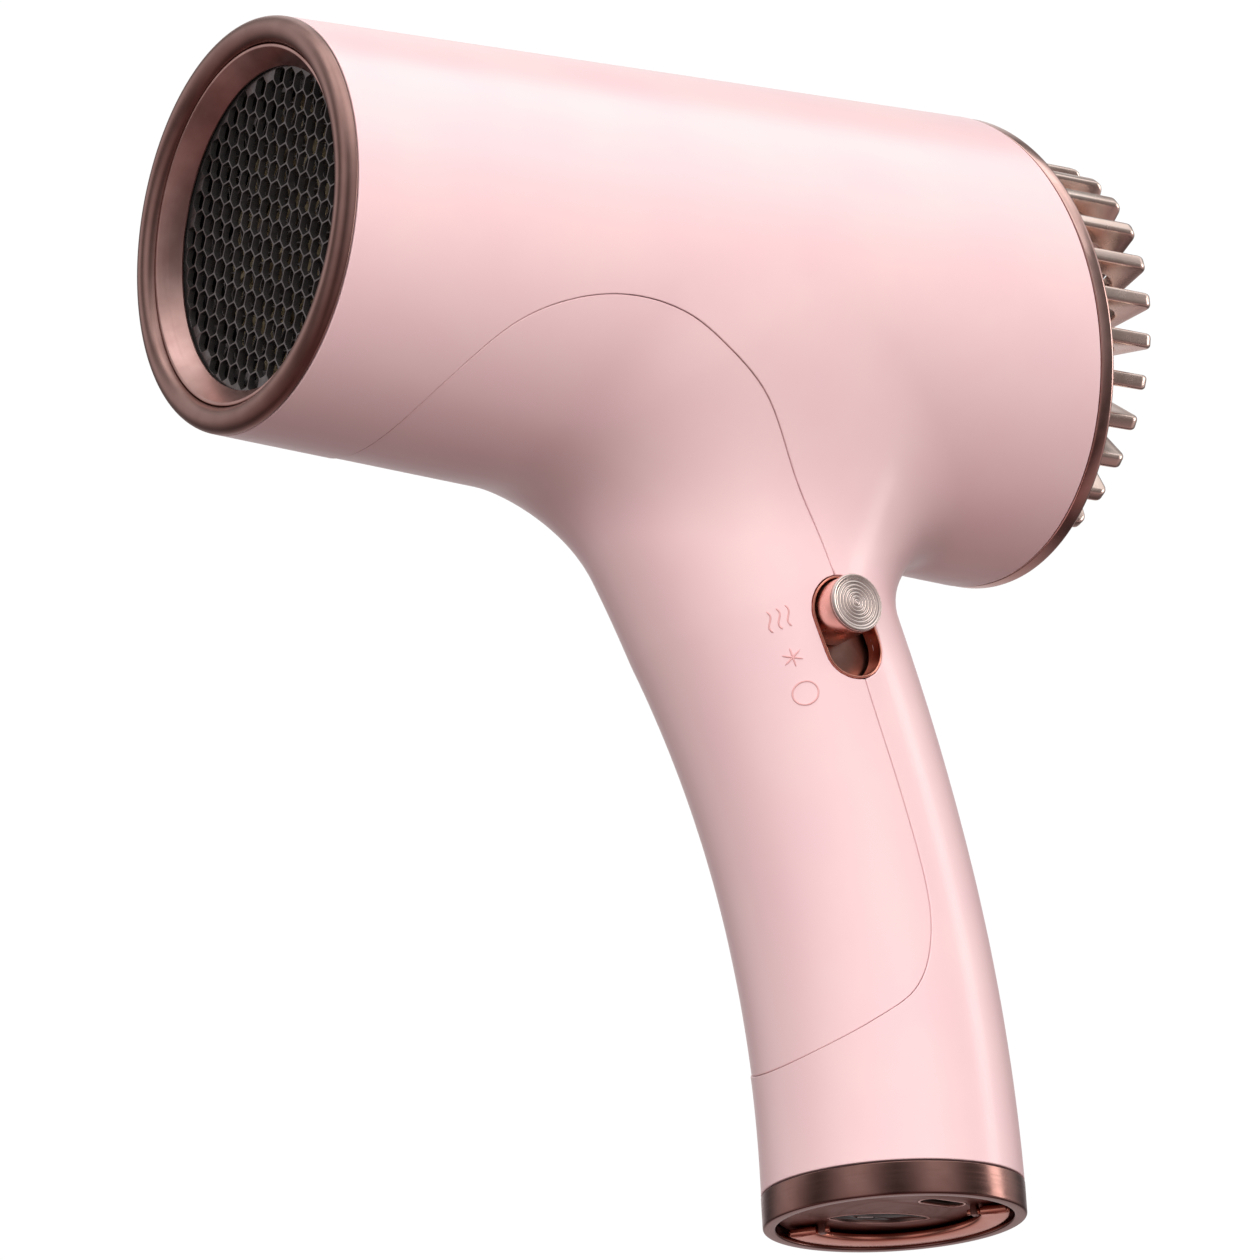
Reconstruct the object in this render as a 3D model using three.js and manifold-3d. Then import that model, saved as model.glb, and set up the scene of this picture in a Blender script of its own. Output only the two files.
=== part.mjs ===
// A cordless travel hair dryer: a tapered barrel on a curved grip.
// Millimetres, +Z up. The origin is the centre of the foot's rim, on the plane it stands on.
// The barrel runs along X: the air outlet faces -X and the intake cage faces +X.
import * as THREE from 'three';
import { mergeVertices } from 'three/addons/utils/BufferGeometryUtils.js';
import Module from 'manifold-3d';

const wasm = await Module();
wasm.setup();

// ---------------------------------------------------------------- driving dimensions
const GAP = 0.3; // clearance between neighbouring pieces
const WALL = 2; // moulded wall thickness

const AXIS_Z = 164; // height of the barrel's axis
const OUTLET_X = -121; // front edge of the barrel moulding
const REAR_X = 26; // where the raked rear edge crosses the axis
const BARREL_R_FRONT = 36;
const BARREL_R_REAR = 42;
const RAKE = THREE.MathUtils.degToRad(11); // the rear edge leans forward at the top

const GRIP_R = 22.4; // radius of the grip, and of the foot
const GRIP_BEND_R = 250; // the grip's centre line is an arc of this radius
const GRIP_BEND_Z = 6; // and it is upright at this height
const GRIP_TOP_Z = 146; // top of the flared root, inside the barrel

const FOOT_R = 22.8; // bronze band
const FOOT_H = 5.7;
const PLATE_Z = 2; // underside of the recessed base plate
const PLATE_T = 1.4;

const DUCT_R = 29.5; // inside of the air duct
const DUCT_T = 1.5;
const MESH_X = -117.6; // front of the honeycomb guard
const MESH_R = 30.9;
const MESH_PITCH = 9.6; // the honeycomb is kept coarse here

const HEATER_X0 = -110;
const HEATER_X1 = -60;
const MICA_T = 0.8;
const COIL_R = 25.5;
const COIL_WIRE = 0.45;

const MOTOR_X0 = -50;
const MOTOR_X1 = -26;
const MOTOR_R = 12.4;
const SHAFT_R = 1;
const FAN_X0 = -25.4;
const FAN_X1 = -12;
const FAN_R = 28.9;
const FAN_BLADES = 9;
const STATOR_VANES = 7;

const RIBS = 30; // intake cage
const RIB_T = 2.7;
const RIB_R = 36.5;
const CAGE_RING_R = 30.9; // inside of the cage's base ring
const CAGE_X = 44.4;
const CAGE_HUB_R = 14.2;

const SWITCH_ARC = 98.2; // distance of the button up the grip's arc at rest
const SWITCH_TRAVEL = 6.4;
const SLOT_W = 11.2;
const BUTTON_R = 5.2;
const BUTTON_FACE_Y = -27.6;

const CELL_R = 9.2; // 18650 cells in their wrap
const CELL_L = 65;

const HINGE_ANGLE = THREE.MathUtils.degToRad(-50); // direction of the loop's hinge line
const HINGE_OFFSET = 2.4; // its distance from the foot's centre
const LOOP_R = 19.9;
const LOOP_Z = 0.95;
const LOOP_T = 1.5;

// ---------------------------------------------------------------- finishes
const FINISH = {
  pink: { color: 0xe9c0bf, roughness: 0.25, metalness: 0 },
  bronze: { color: 0x7d5a52, roughness: 0.35, metalness: 1 },
  copper: { color: 0xd0826a, roughness: 0.22, metalness: 1 },
  roseGold: { color: 0xb89088, roughness: 0.25, metalness: 1 },
  steel: { color: 0xc8c0bc, roughness: 0.25, metalness: 1 },
  darkSteel: { color: 0x55504c, roughness: 0.45, metalness: 1 },
  black: { color: 0x141414, roughness: 0.5, metalness: 0 },
  gloss: { color: 0x0c0c0e, roughness: 0.08, metalness: 0 },
  mica: { color: 0xc9b79a, roughness: 0.6, metalness: 0 },
  nichrome: { color: 0x8a8078, roughness: 0.4, metalness: 1 },
  white: { color: 0xe8e6e0, roughness: 0.5, metalness: 0 },
  board: { color: 0x1d5a38, roughness: 0.5, metalness: 0 },
  cell: { color: 0x3a6fb0, roughness: 0.4, metalness: 0 },
  rubber: { color: 0x202022, roughness: 0.9, metalness: 0 },
  redWire: { color: 0xb02020, roughness: 0.5, metalness: 0 },
};

// ---------------------------------------------------------------- solids
/** Signed volume of an indexed triangle list. */
function signedVolume(position, index) {
  const a = new THREE.Vector3();
  const b = new THREE.Vector3();
  const c = new THREE.Vector3();
  let sum = 0;
  for (let i = 0; i < index.length; i += 3) {
    a.fromArray(position, 3 * index[i]);
    b.fromArray(position, 3 * index[i + 1]);
    c.fromArray(position, 3 * index[i + 2]);
    sum += a.dot(b.cross(c));
  }
  return sum / 6;
}

/** A closed geometry with shared vertices and outward faces, as a manifold solid. */
function solid(geometry) {
  const bare = geometry.clone();
  bare.deleteAttribute('normal');
  bare.deleteAttribute('uv');
  const merged = mergeVertices(bare, 1e-4);
  const position = merged.attributes.position.array;
  const source = merged.index.array;
  const faces = [];
  for (let i = 0; i < source.length; i += 3) {
    const [a, b, c] = [source[i], source[i + 1], source[i + 2]];
    if (a !== b && b !== c && c !== a) faces.push(a, b, c);
  }
  if (signedVolume(position, faces) < 0) faces.reverse();
  const triVerts = new Uint32Array(faces);
  const vertProperties = new Float32Array(position);
  return new wasm.Manifold(new wasm.Mesh({ numProp: 3, vertProperties, triVerts }));
}

/** A manifold solid as a geometry, with its hair-thin slivers taken out. */
function geometryOf(shape) {
  const mesh = shape.simplify(0.02).getMesh();
  const geometry = new THREE.BufferGeometry();
  geometry.setAttribute('position', new THREE.BufferAttribute(new Float32Array(mesh.vertProperties), 3));
  geometry.setIndex(new THREE.BufferAttribute(new Uint32Array(mesh.triVerts), 1));
  geometry.computeVertexNormals();
  return geometry;
}

function piece(name, shape, finish) {
  const mesh = new THREE.Mesh(geometryOf(shape), new THREE.MeshStandardMaterial(FINISH[finish]));
  mesh.name = name;
  return mesh;
}

/** A solid of revolution about the barrel's axis; profile points are [x, radius]. */
function turnedOnBarrel(profile, segments = 28) {
  const points = profile.map(([x, r]) => new THREE.Vector2(r, x));
  const geometry = new THREE.LatheGeometry([...points, points[0]], segments);
  geometry.rotateZ(-Math.PI / 2);
  geometry.translate(0, 0, AXIS_Z);
  return solid(geometry);
}

/** A solid of revolution about the vertical axis; profile points are [radius, z]. */
function turnedUpright(profile, segments = 32) {
  const points = profile.map(([r, z]) => new THREE.Vector2(r, z));
  const geometry = new THREE.LatheGeometry([...points, points[0]], segments);
  geometry.rotateX(Math.PI / 2);
  return solid(geometry);
}

function box(width, depth, height, x, y, z) {
  const geometry = new THREE.BoxGeometry(width, depth, height);
  geometry.translate(x, y, z);
  return solid(geometry);
}

/** A cylinder between two points. */
function rod(from, to, radius, segments = 24) {
  const start = new THREE.Vector3(...from);
  const way = new THREE.Vector3(...to).sub(start);
  const geometry = new THREE.CylinderGeometry(radius, radius, way.length(), segments);
  geometry.translate(0, way.length() / 2, 0);
  const turn = new THREE.Quaternion().setFromUnitVectors(new THREE.Vector3(0, 1, 0), way.clone().normalize());
  geometry.applyQuaternion(turn);
  geometry.translate(start.x, start.y, start.z);
  return solid(geometry);
}

/** A slot outline: two half circles joined by straight sides, long side along X. */
function slotShape(length, width) {
  const r = width / 2;
  const h = (length - width) / 2;
  const shape = new THREE.Shape();
  shape.absarc(h, 0, r, -Math.PI / 2, Math.PI / 2, false);
  shape.absarc(-h, 0, r, Math.PI / 2, Math.PI * 1.5, false);
  shape.closePath();
  return shape;
}

function extruded(shape, depth, curveSegments = 12) {
  return new THREE.ExtrudeGeometry(shape, { depth, bevelEnabled: false, steps: 1, curveSegments });
}

/** A solid lofted through horizontal rings of points, closed at both ends. */
function lofted(rings) {
  const count = rings[0].length;
  const vertices = rings.flat();
  const faces = [];
  for (let i = 0; i + 1 < rings.length; i += 1) {
    for (let j = 0; j < count; j += 1) {
      const a = i * count + j;
      const b = i * count + ((j + 1) % count);
      faces.push(a, b, b + count, a, b + count, a + count);
    }
  }
  const top = (rings.length - 1) * count;
  for (let j = 1; j + 1 < count; j += 1) {
    faces.push(0, j + 1, j);
    faces.push(top, top + j, top + j + 1);
  }
  const geometry = new THREE.BufferGeometry().setFromPoints(vertices);
  geometry.setIndex(faces);
  return solid(geometry);
}

// ---------------------------------------------------------------- the grip's centre line
/** A point of the grip's arc, with the arc's lean there. */
function gripAt(arc) {
  const lean = arc / GRIP_BEND_R;
  const x = -GRIP_BEND_R * (1 - Math.cos(lean));
  const z = GRIP_BEND_Z + GRIP_BEND_R * Math.sin(lean);
  return { x, z, lean };
}

function gripAtHeight(z) {
  const rise = Math.max(0, z - GRIP_BEND_Z);
  return gripAt(GRIP_BEND_R * Math.asin(rise / GRIP_BEND_R));
}

/** Growth of a flare that starts at height z0 and reaches full at z1. */
function flare(z, z0, z1, full, power) {
  const t = THREE.MathUtils.clamp((z - z0) / (z1 - z0), 0, 1);
  return full * t ** power;
}

/** A horizontal ring of the grip's skin, set inward by inset. */
function gripRing(z, inset, count = 30) {
  const { x, lean } = gripAtHeight(z);
  const across = GRIP_R / Math.cos(lean);
  const front = across + flare(z, 95, 126, 34, 3.2) - inset;
  const rear = across + flare(z, 108, 127, 12, 2.4) - inset;
  const side = GRIP_R + flare(z, 80, 100, 0.8, 1) + flare(z, 105, 143, 9, 1.8) - inset;
  const ring = [];
  for (let j = 0; j < count; j += 1) {
    const angle = (2 * Math.PI * j) / count;
    const reach = Math.cos(angle) > 0 ? rear : front;
    ring.push(new THREE.Vector3(x + reach * Math.cos(angle), side * Math.sin(angle), z));
  }
  return ring;
}

function gripSolid(inset, zLow) {
  const heights = [zLow, 26, 46, 66, 84, 98, 107, 113, 118, 122, 126, 132, 139, GRIP_TOP_Z];
  return lofted(heights.map((z) => gripRing(z, inset)));
}

// ---------------------------------------------------------------- the barrel
const TAPER = (BARREL_R_REAR - BARREL_R_FRONT) / (REAR_X - OUTLET_X);
const barrelRadius = (x) => BARREL_R_FRONT + TAPER * (x - OUTLET_X);

function barrelSolid(x0, x1, inset) {
  const profile = [[x0, 0], [x0, barrelRadius(x0) - inset], [x1, barrelRadius(x1) - inset], [x1, 0]];
  return turnedOnBarrel(profile, 44);
}

/** A slab parallel to the raked rear edge, between two distances behind it. */
function rakedSlab(from, to) {
  const geometry = new THREE.BoxGeometry(to - from, 200, 200);
  geometry.translate((from + to) / 2, 0, 0);
  geometry.rotateY(-RAKE);
  geometry.translate(REAR_X, 0, AXIS_Z);
  return solid(geometry);
}

/** The side view of the cover's seam, as a closed outline in X and Z, grown by grow. */
function seamOutline(grow) {
  const seam = [
    [-101, 124], [-96.5, 132], [-88, 141], [-78, 146], [-67, 148], [-56, 146.7], [-46.5, 142],
    [-37, 135], [-29, 123.5], [-21.5, 110.5], [-14.6, 88.8], [-8.2, 68.8], [-4.4, 53], [-4.7, 43],
    [-8, 35.5], [-15, 30.2], [-23.5, 25], [-34, 18],
  ];
  const curve = new THREE.SplineCurve(seam.map(([x, z]) => new THREE.Vector2(x, z)));
  const steps = 30;
  const points = curve.getPoints(steps).map((point, i) => {
    const tangent = curve.getTangent(i / steps);
    return new THREE.Vector2(point.x - tangent.y * grow, point.y + tangent.x * grow);
  });
  return new THREE.Shape([...points, new THREE.Vector2(-130, 18), new THREE.Vector2(-130, 112)]);
}

function seamPrism(grow) {
  const geometry = extruded(seamOutline(grow), 120);
  geometry.rotateX(Math.PI / 2);
  geometry.translate(0, 60, 0);
  return solid(geometry);
}

/** The switch slot cut through the -Y flank, grown all round by grow. */
function slotPrism(grow, yOuter, yInner) {
  const geometry = extruded(slotShape(SLOT_W + SWITCH_TRAVEL + 2 * grow, SLOT_W + 2 * grow), yInner - yOuter);
  return placeOnFlank(geometry, yOuter);
}

/** Turns a shape drawn in the XY plane onto the -Y flank at the slot, long side down the grip. */
function placeOnFlank(geometry, yOuter) {
  const { x, z, lean } = gripAt(SWITCH_ARC - SWITCH_TRAVEL / 2);
  geometry.rotateX(-Math.PI / 2);
  geometry.rotateY(Math.PI / 2 - lean);
  geometry.translate(x, yOuter, z);
  return solid(geometry);
}

function shells() {
  const outer = barrelSolid(OUTLET_X + GAP, REAR_X + 15, 0).add(gripSolid(0, FOOT_H + GAP));
  const inner = barrelSolid(OUTLET_X - 5, REAR_X + 20, WALL).add(gripSolid(WALL, FOOT_H - 3));
  const skin = outer.subtract(inner).subtract(rakedSlab(0, 60)).subtract(slotPrism(0.8, -40, -10));
  const cover = skin.intersect(seamPrism(0));
  const main = skin.subtract(seamPrism(GAP));
  return [piece('main_shell', main, 'pink'), piece('handle_cover', cover, 'pink')];
}

// ---------------------------------------------------------------- outlet
function outletRing() {
  const spigotR = BARREL_R_FRONT - WALL - GAP;
  const profile = [
    [OUTLET_X, 36], [-122.2, 35.8], [-123.4, 34.9], [-124.1, 33.6], [-124.2, 32.4], [-123.8, 31.2],
    [MESH_X - GAP, 27.6], [MESH_X - GAP, MESH_R + 0.4], [-112, MESH_R + 0.4], [-112, spigotR],
    [OUTLET_X, spigotR],
  ];
  return piece('outlet_ring', turnedOnBarrel(profile), 'bronze');
}

/** A round guard with hexagonal holes, facing along X. */
function honeycomb(name, x, radius, thickness, pitch, finish) {
  const shape = new THREE.Shape();
  shape.absarc(0, 0, radius, 0, 2 * Math.PI, false);
  const hole = pitch / 2 / Math.cos(Math.PI / 6) - 0.7;
  const rows = Math.ceil(radius / pitch) + 1;
  for (let i = -rows; i <= rows; i += 1) {
    for (let j = -rows; j <= rows; j += 1) {
      const u = pitch * (i + j / 2);
      const v = pitch * j * Math.sin(Math.PI / 3);
      if (Math.hypot(u, v) < radius - 1.2 - hole) shape.holes.push(hexagon(u, v, hole));
    }
  }
  const geometry = extruded(shape, thickness, 18);
  geometry.rotateY(Math.PI / 2);
  geometry.translate(x, 0, AXIS_Z);
  return piece(name, solid(geometry), finish);
}

function hexagon(u, v, radius) {
  const corners = [];
  for (let k = 0; k < 6; k += 1) {
    const angle = (Math.PI / 3) * k + Math.PI / 6;
    corners.push(new THREE.Vector2(u + radius * Math.cos(angle), v + radius * Math.sin(angle)));
  }
  return new THREE.Path([...corners, corners[0]]);
}

// ---------------------------------------------------------------- duct and heater
function airDuct() {
  const outside = DUCT_R + DUCT_T;
  const profile = [
    [MESH_X + 1.4, DUCT_R], [12, DUCT_R], [14, DUCT_R + 1.5], [14, 38.8], [12.6, 38.8], [12.6, outside + 1],
    [11, outside], [MESH_X + 1.4, outside],
  ];
  const leadHole = box(7, 10, 12, -58, 0, AXIS_Z - DUCT_R - 1);
  return piece('air_duct', turnedOnBarrel(profile).subtract(leadHole), 'black');
}

function heaterSleeve() {
  const inner = COIL_R + 1.9;
  const x0 = HEATER_X0 + 2;
  const x1 = HEATER_X1 - 2;
  const shape = turnedOnBarrel([[x0, inner], [x1, inner], [x1, inner + 0.8], [x0, inner + 0.8]]);
  return piece('heater_sleeve', shape, 'mica');
}

/** One of two crossed mica boards; each has a slot over half its length. */
function micaBoard(name, slotX0, slotX1, turn) {
  const half = COIL_R - 1.8;
  const board = new THREE.BoxGeometry(HEATER_X1 - HEATER_X0, MICA_T, 2 * half);
  board.translate((HEATER_X0 + HEATER_X1) / 2, 0, 0);
  const slotWidth = MICA_T + 2 * GAP;
  const slot = new THREE.BoxGeometry(slotX1 - slotX0, 3, slotWidth);
  slot.translate((slotX0 + slotX1) / 2, 0, 0);
  const shape = solid(board).subtract(solid(slot)).rotate([turn, 0, 0]).translate([0, 0, AXIS_Z]);
  return piece(name, shape, 'mica');
}

class CoilPath extends THREE.Curve {
  constructor(x0, x1, turns) {
    super();
    Object.assign(this, { x0, x1, turns });
  }

  getPoint(t, target = new THREE.Vector3()) {
    const angle = 2 * Math.PI * this.turns * t + 0.4;
    const x = THREE.MathUtils.lerp(this.x0, this.x1, t);
    return target.set(x, COIL_R * Math.cos(angle), AXIS_Z + COIL_R * Math.sin(angle));
  }
}

function circleShape(radius, sides) {
  const corners = [];
  for (let k = 0; k < sides; k += 1) {
    const angle = (2 * Math.PI * k) / sides;
    corners.push(new THREE.Vector2(radius * Math.cos(angle), radius * Math.sin(angle)));
  }
  return new THREE.Shape(corners);
}

function tubeAlong(path, radius, steps, sides = 6) {
  const options = { steps, bevelEnabled: false, extrudePath: path };
  return solid(new THREE.ExtrudeGeometry(circleShape(radius, sides), options));
}

function heatingCoil() {
  const turns = 6;
  const path = new CoilPath(HEATER_X0 + 5, HEATER_X1 - 5, turns);
  return piece('heating_coil', tubeAlong(path, COIL_WIRE, turns * 12, 5), 'nichrome');
}

function heaterGuards() {
  const boardFace = MICA_T / 2 + GAP;
  const thermostat = box(9, 3, 7, -70, -(boardFace + 1.5), AXIS_Z + 10);
  const fuseZ = AXIS_Z + boardFace + 1.6;
  const fuse = rod([-104, -10, fuseZ], [-94, -10, fuseZ], 1.6, 16);
  return [piece('thermostat', thermostat, 'darkSteel'), piece('thermal_fuse', fuse, 'white')];
}

// ---------------------------------------------------------------- motor and fan
/** A flat blade standing out from the barrel's axis, pitched about its own span. */
function blade(x, rInner, rOuter, chord, thickness, pitch, spin) {
  const geometry = new THREE.BoxGeometry(chord, thickness, rOuter - rInner);
  geometry.rotateZ(pitch);
  geometry.translate(x, 0, (rInner + rOuter) / 2);
  geometry.rotateX(spin);
  geometry.translate(0, 0, AXIS_Z);
  return solid(geometry);
}

function bladeRow(count, build) {
  let row = build(0);
  for (let k = 1; k < count; k += 1) row = row.add(build((2 * Math.PI * k) / count));
  return row;
}

function stator() {
  const cupR = MOTOR_R + 2.2;
  const cup = turnedOnBarrel([
    [-56, 2], [-54.5, 8], [-52.5, cupR - 1], [-51, cupR], [-27.5, cupR], [-27.5, MOTOR_R + 1],
    [MOTOR_X0 - GAP, MOTOR_R + 1], [MOTOR_X0 - GAP, 2],
  ]);
  const vanes = bladeRow(STATOR_VANES, (spin) => blade(-41, cupR - 1.2, DUCT_R - 0.6, 18, 1.2, 0.2, spin));
  const screwWay = motorScrewSpots().map((z) => rod([-60, 0, z], [-40, 0, z], 1.4, 16));
  const boreR = MOTOR_R + 1;
  const motorBore = turnedOnBarrel([[-49, 0], [-49, boreR], [-20, boreR], [-20, 0]]);
  const body = cup.add(vanes).subtract(motorBore);
  return piece('stator', screwWay.reduce((shape, way) => shape.subtract(way), body), 'black');
}

const motorScrewSpots = () => [AXIS_Z - 6, AXIS_Z + 6];

function motor() {
  const bore = SHAFT_R + 0.35;
  const can = turnedOnBarrel([
    [MOTOR_X0, bore], [MOTOR_X1 - 3, bore], [MOTOR_X1 - 3, 3.3], [MOTOR_X1, 3.3], [MOTOR_X1, 5],
    [MOTOR_X1 - 0.8, 5], [MOTOR_X1 - 0.8, MOTOR_R - 0.8], [MOTOR_X1 - 1.6, MOTOR_R],
    [MOTOR_X0, MOTOR_R],
  ]);
  const threads = motorScrewSpots().map((z) => rod([-60, 0, z], [MOTOR_X0 + 4, 0, z], 1.2, 16));
  const shape = threads.reduce((body, thread) => body.subtract(thread), can);
  const sleeve = turnedOnBarrel([
    [MOTOR_X0 + 4, MOTOR_R + 0.2], [MOTOR_X1 - 3, MOTOR_R + 0.2], [MOTOR_X1 - 3, MOTOR_R + 0.8],
    [MOTOR_X0 + 4, MOTOR_R + 0.8],
  ]);
  const bushing = turnedOnBarrel([
    [MOTOR_X1 - 2.7, SHAFT_R + 0.06], [MOTOR_X1 - 0.2, SHAFT_R + 0.06],
    [MOTOR_X1 - 0.2, 3], [MOTOR_X1 - 2.7, 3],
  ], 24);
  const screws = motorScrewSpots().map((z, i) => {
    const shank = rod([-56.6, 0, z], [MOTOR_X0 + 3.6, 0, z], 0.9, 16);
    const head = rod([-58.2, 0, z], [-56.4, 0, z], 1.9, 16);
    return piece(`motor_screw_${i + 1}`, shank.add(head), 'steel');
  });
  return [
    piece('motor', shape, 'steel'), piece('motor_sleeve', sleeve, 'rubber'),
    piece('motor_bushing', bushing, 'darkSteel'), ...screws,
  ];
}

function fanRotor() {
  const shaft = rod([MOTOR_X0 + 2, 0, AXIS_Z], [FAN_X0 + 2, 0, AXIS_Z], SHAFT_R, 24);
  const hub = turnedOnBarrel([
    [FAN_X0, 0], [FAN_X0, 13.4], [FAN_X1 - 3, 13.4], [FAN_X1 - 1, 11], [FAN_X1, 6], [FAN_X1, 0],
  ]);
  const middle = (FAN_X0 + FAN_X1) / 2;
  const blades = bladeRow(FAN_BLADES, (spin) => blade(middle, 12.4, FAN_R, 12.5, 1.3, 0.75, spin));
  const tip = turnedOnBarrel([[FAN_X0, 0], [FAN_X0, FAN_R], [FAN_X1, FAN_R], [FAN_X1, 0]], 48);
  return piece('fan_rotor', hub.add(blades.intersect(tip)).add(shaft), 'black');
}

// ---------------------------------------------------------------- intake
function rearTrimRing() {
  const blank = barrelSolid(0, 60, 0.1).intersect(rakedSlab(GAP, 3.2));
  const boreR = RIB_R + GAP;
  const bore = turnedOnBarrel([[0, 0], [0, boreR], [60, boreR], [60, 0]], 60);
  return piece('rear_trim_ring', blank.subtract(bore), 'roseGold');
}

/** One cage rib: a bar along the barrel that turns in to the hub with a rounded corner. */
function cageRib(spin) {
  const corner = 3;
  const shape = new THREE.Shape();
  shape.moveTo(10, RIB_R);
  shape.lineTo(CAGE_X - corner, RIB_R);
  shape.absarc(CAGE_X - corner, RIB_R - corner, corner, Math.PI / 2, 0, true);
  shape.lineTo(CAGE_X, CAGE_HUB_R - 1);
  shape.lineTo(CAGE_X - 2.6, CAGE_HUB_R - 1);
  shape.lineTo(CAGE_X - 2.6, RIB_R - 3);
  shape.lineTo(10, RIB_R - 3);
  const geometry = extruded(shape, RIB_T, 2);
  geometry.translate(0, 0, -RIB_T / 2);
  geometry.rotateX(Math.PI / 2);
  geometry.rotateX(spin);
  geometry.translate(0, 0, AXIS_Z);
  return solid(geometry);
}

function rearGrille() {
  const ribs = bladeRow(RIBS, cageRib).intersect(rakedSlab(0.8, 80));
  const tube = turnedOnBarrel([[0, CAGE_RING_R], [0, RIB_R], [60, RIB_R], [60, CAGE_RING_R]], 60);
  const ring = tube.intersect(rakedSlab(0.8, 3.6));
  const hub = turnedOnBarrel([
    [CAGE_X - 2.6, 0], [CAGE_X - 2.6, CAGE_HUB_R], [CAGE_X, CAGE_HUB_R], [CAGE_X, 0],
  ], 30);
  return piece('rear_grille', ribs.add(ring).add(hub), 'roseGold');
}

// ---------------------------------------------------------------- switch
function switchParts() {
  const liner = slotPrism(0.6, -22.6, -18.9).subtract(slotPrism(0, -30, -10));
  const { x, z, lean } = gripAt(SWITCH_ARC);
  const button = rod([x, BUTTON_FACE_Y, z], [x, -18.4, z], BUTTON_R, 28);
  const stem = rod([x, -18.6, z], [x, -15.2, z], 1.2, 12);
  const shutter = new THREE.BoxGeometry(26, 0.8, 12.6);
  shutter.rotateY(Math.PI / 2 - lean);
  shutter.translate(x, -17.6, z);
  const stemHole = rod([x, -20, z], [x, -10, z], 1.5, 16);
  const body = new THREE.BoxGeometry(18, 5, 8);
  const groove = new THREE.BoxGeometry(SWITCH_TRAVEL + 4, 3, 3.2);
  groove.translate(0, -2.5, 0);
  const middle = gripAt(SWITCH_ARC - SWITCH_TRAVEL / 2);
  for (const geometry of [body, groove]) {
    geometry.rotateY(Math.PI / 2 - middle.lean);
    geometry.translate(middle.x, -13.8, middle.z);
  }
  return [
    piece('switch_liner', liner, 'copper'),
    piece('slide_button', button.add(stem), 'steel'),
    piece('slide_shutter', solid(shutter).subtract(stemHole), 'darkSteel'),
    piece('slide_switch', solid(body).subtract(solid(groove)), 'black'),
  ];
}

function controlBoard() {
  const { x, z, lean } = gripAt(96);
  const geometry = new THREE.BoxGeometry(34, 1.4, 22);
  geometry.rotateY(Math.PI / 2 - lean);
  geometry.translate(x, -10.2, z);
  return piece('control_board', solid(geometry), 'board');
}

// ---------------------------------------------------------------- battery
const CELL_Z = 15.5; // bottom of the cells, on their tilted line
const PACK_LEAN = Math.atan2(-gripAtHeight(80).x, 66);

/** Puts a shape drawn upright about the origin onto the battery pack's tilted line. */
function inPack(geometry, up) {
  geometry.translate(0, 0, up);
  geometry.rotateY(-PACK_LEAN);
  geometry.translate(1.2, 0, CELL_Z);
  return solid(geometry);
}

function batteryPack() {
  const spread = CELL_R + GAP / 2;
  const cells = [-spread, spread].map((y, i) => {
    const geometry = new THREE.CylinderGeometry(CELL_R, CELL_R, CELL_L, 28);
    geometry.rotateX(Math.PI / 2);
    geometry.translate(0, y, CELL_L / 2);
    return piece(`battery_cell_${i + 1}`, inPack(geometry, 0), 'cell');
  });
  const sleeveShape = (grow) => slotShape(2 * spread + 2 * (CELL_R + grow), 2 * (CELL_R + grow));
  const outline = sleeveShape(1.1);
  outline.holes.push(new THREE.Path(sleeveShape(GAP).getPoints(8)));
  const sleeve = extruded(outline, 34, 8);
  sleeve.rotateZ(Math.PI / 2);
  const link = extruded(slotShape(26, 7), 0.4, 8);
  link.rotateZ(Math.PI / 2);
  return [
    ...cells,
    piece('battery_holder', inPack(sleeve, 16), 'black'),
    piece('cell_link', inPack(link, CELL_L + GAP), 'steel'),
  ];
}

// ---------------------------------------------------------------- foot
const HINGE_DIR = [Math.cos(HINGE_ANGLE), Math.sin(HINGE_ANGLE)];
const HINGE_NORMAL = [-HINGE_DIR[1], HINGE_DIR[0]];

/** A point at distance t along the hinge line and n beyond it, at height z. */
function fromHinge(t, n, z) {
  const out = HINGE_OFFSET + n;
  return [t * HINGE_DIR[0] + out * HINGE_NORMAL[0], t * HINGE_DIR[1] + out * HINGE_NORMAL[1], z];
}

function footBand() {
  const profile = [
    [20.6, 0], [22.45, 0], [FOOT_R, 0.35], [FOOT_R, FOOT_H], [19.7, FOOT_H], [19.7, 10], [18.6, 10],
    [18.6, 3.8], [20.6, 3.8],
  ];
  return piece('base_band', turnedUpright(profile), 'bronze');
}

const WINDOW = { x: 0.2, y: 4.9, length: 18.5, width: 8, turn: THREE.MathUtils.degToRad(-19) };
const SOCKET = { x: 3.9, y: -8.7, length: 8.94, width: 3.26, turn: THREE.MathUtils.degToRad(8) };

/** An upright slot-shaped prism at a place in the foot. */
function footPrism(place, grow, z0, z1) {
  const geometry = extruded(slotShape(place.length + 2 * grow, place.width + 2 * grow), z1 - z0, 10);
  geometry.rotateZ(place.turn);
  geometry.translate(place.x, place.y, z0);
  return solid(geometry);
}

function hingeLug(t) {
  const geometry = new THREE.BoxGeometry(1.2, 2, 2);
  geometry.rotateZ(HINGE_ANGLE);
  geometry.translate(...fromHinge(t, 0, 1.3));
  return solid(geometry);
}

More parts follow.
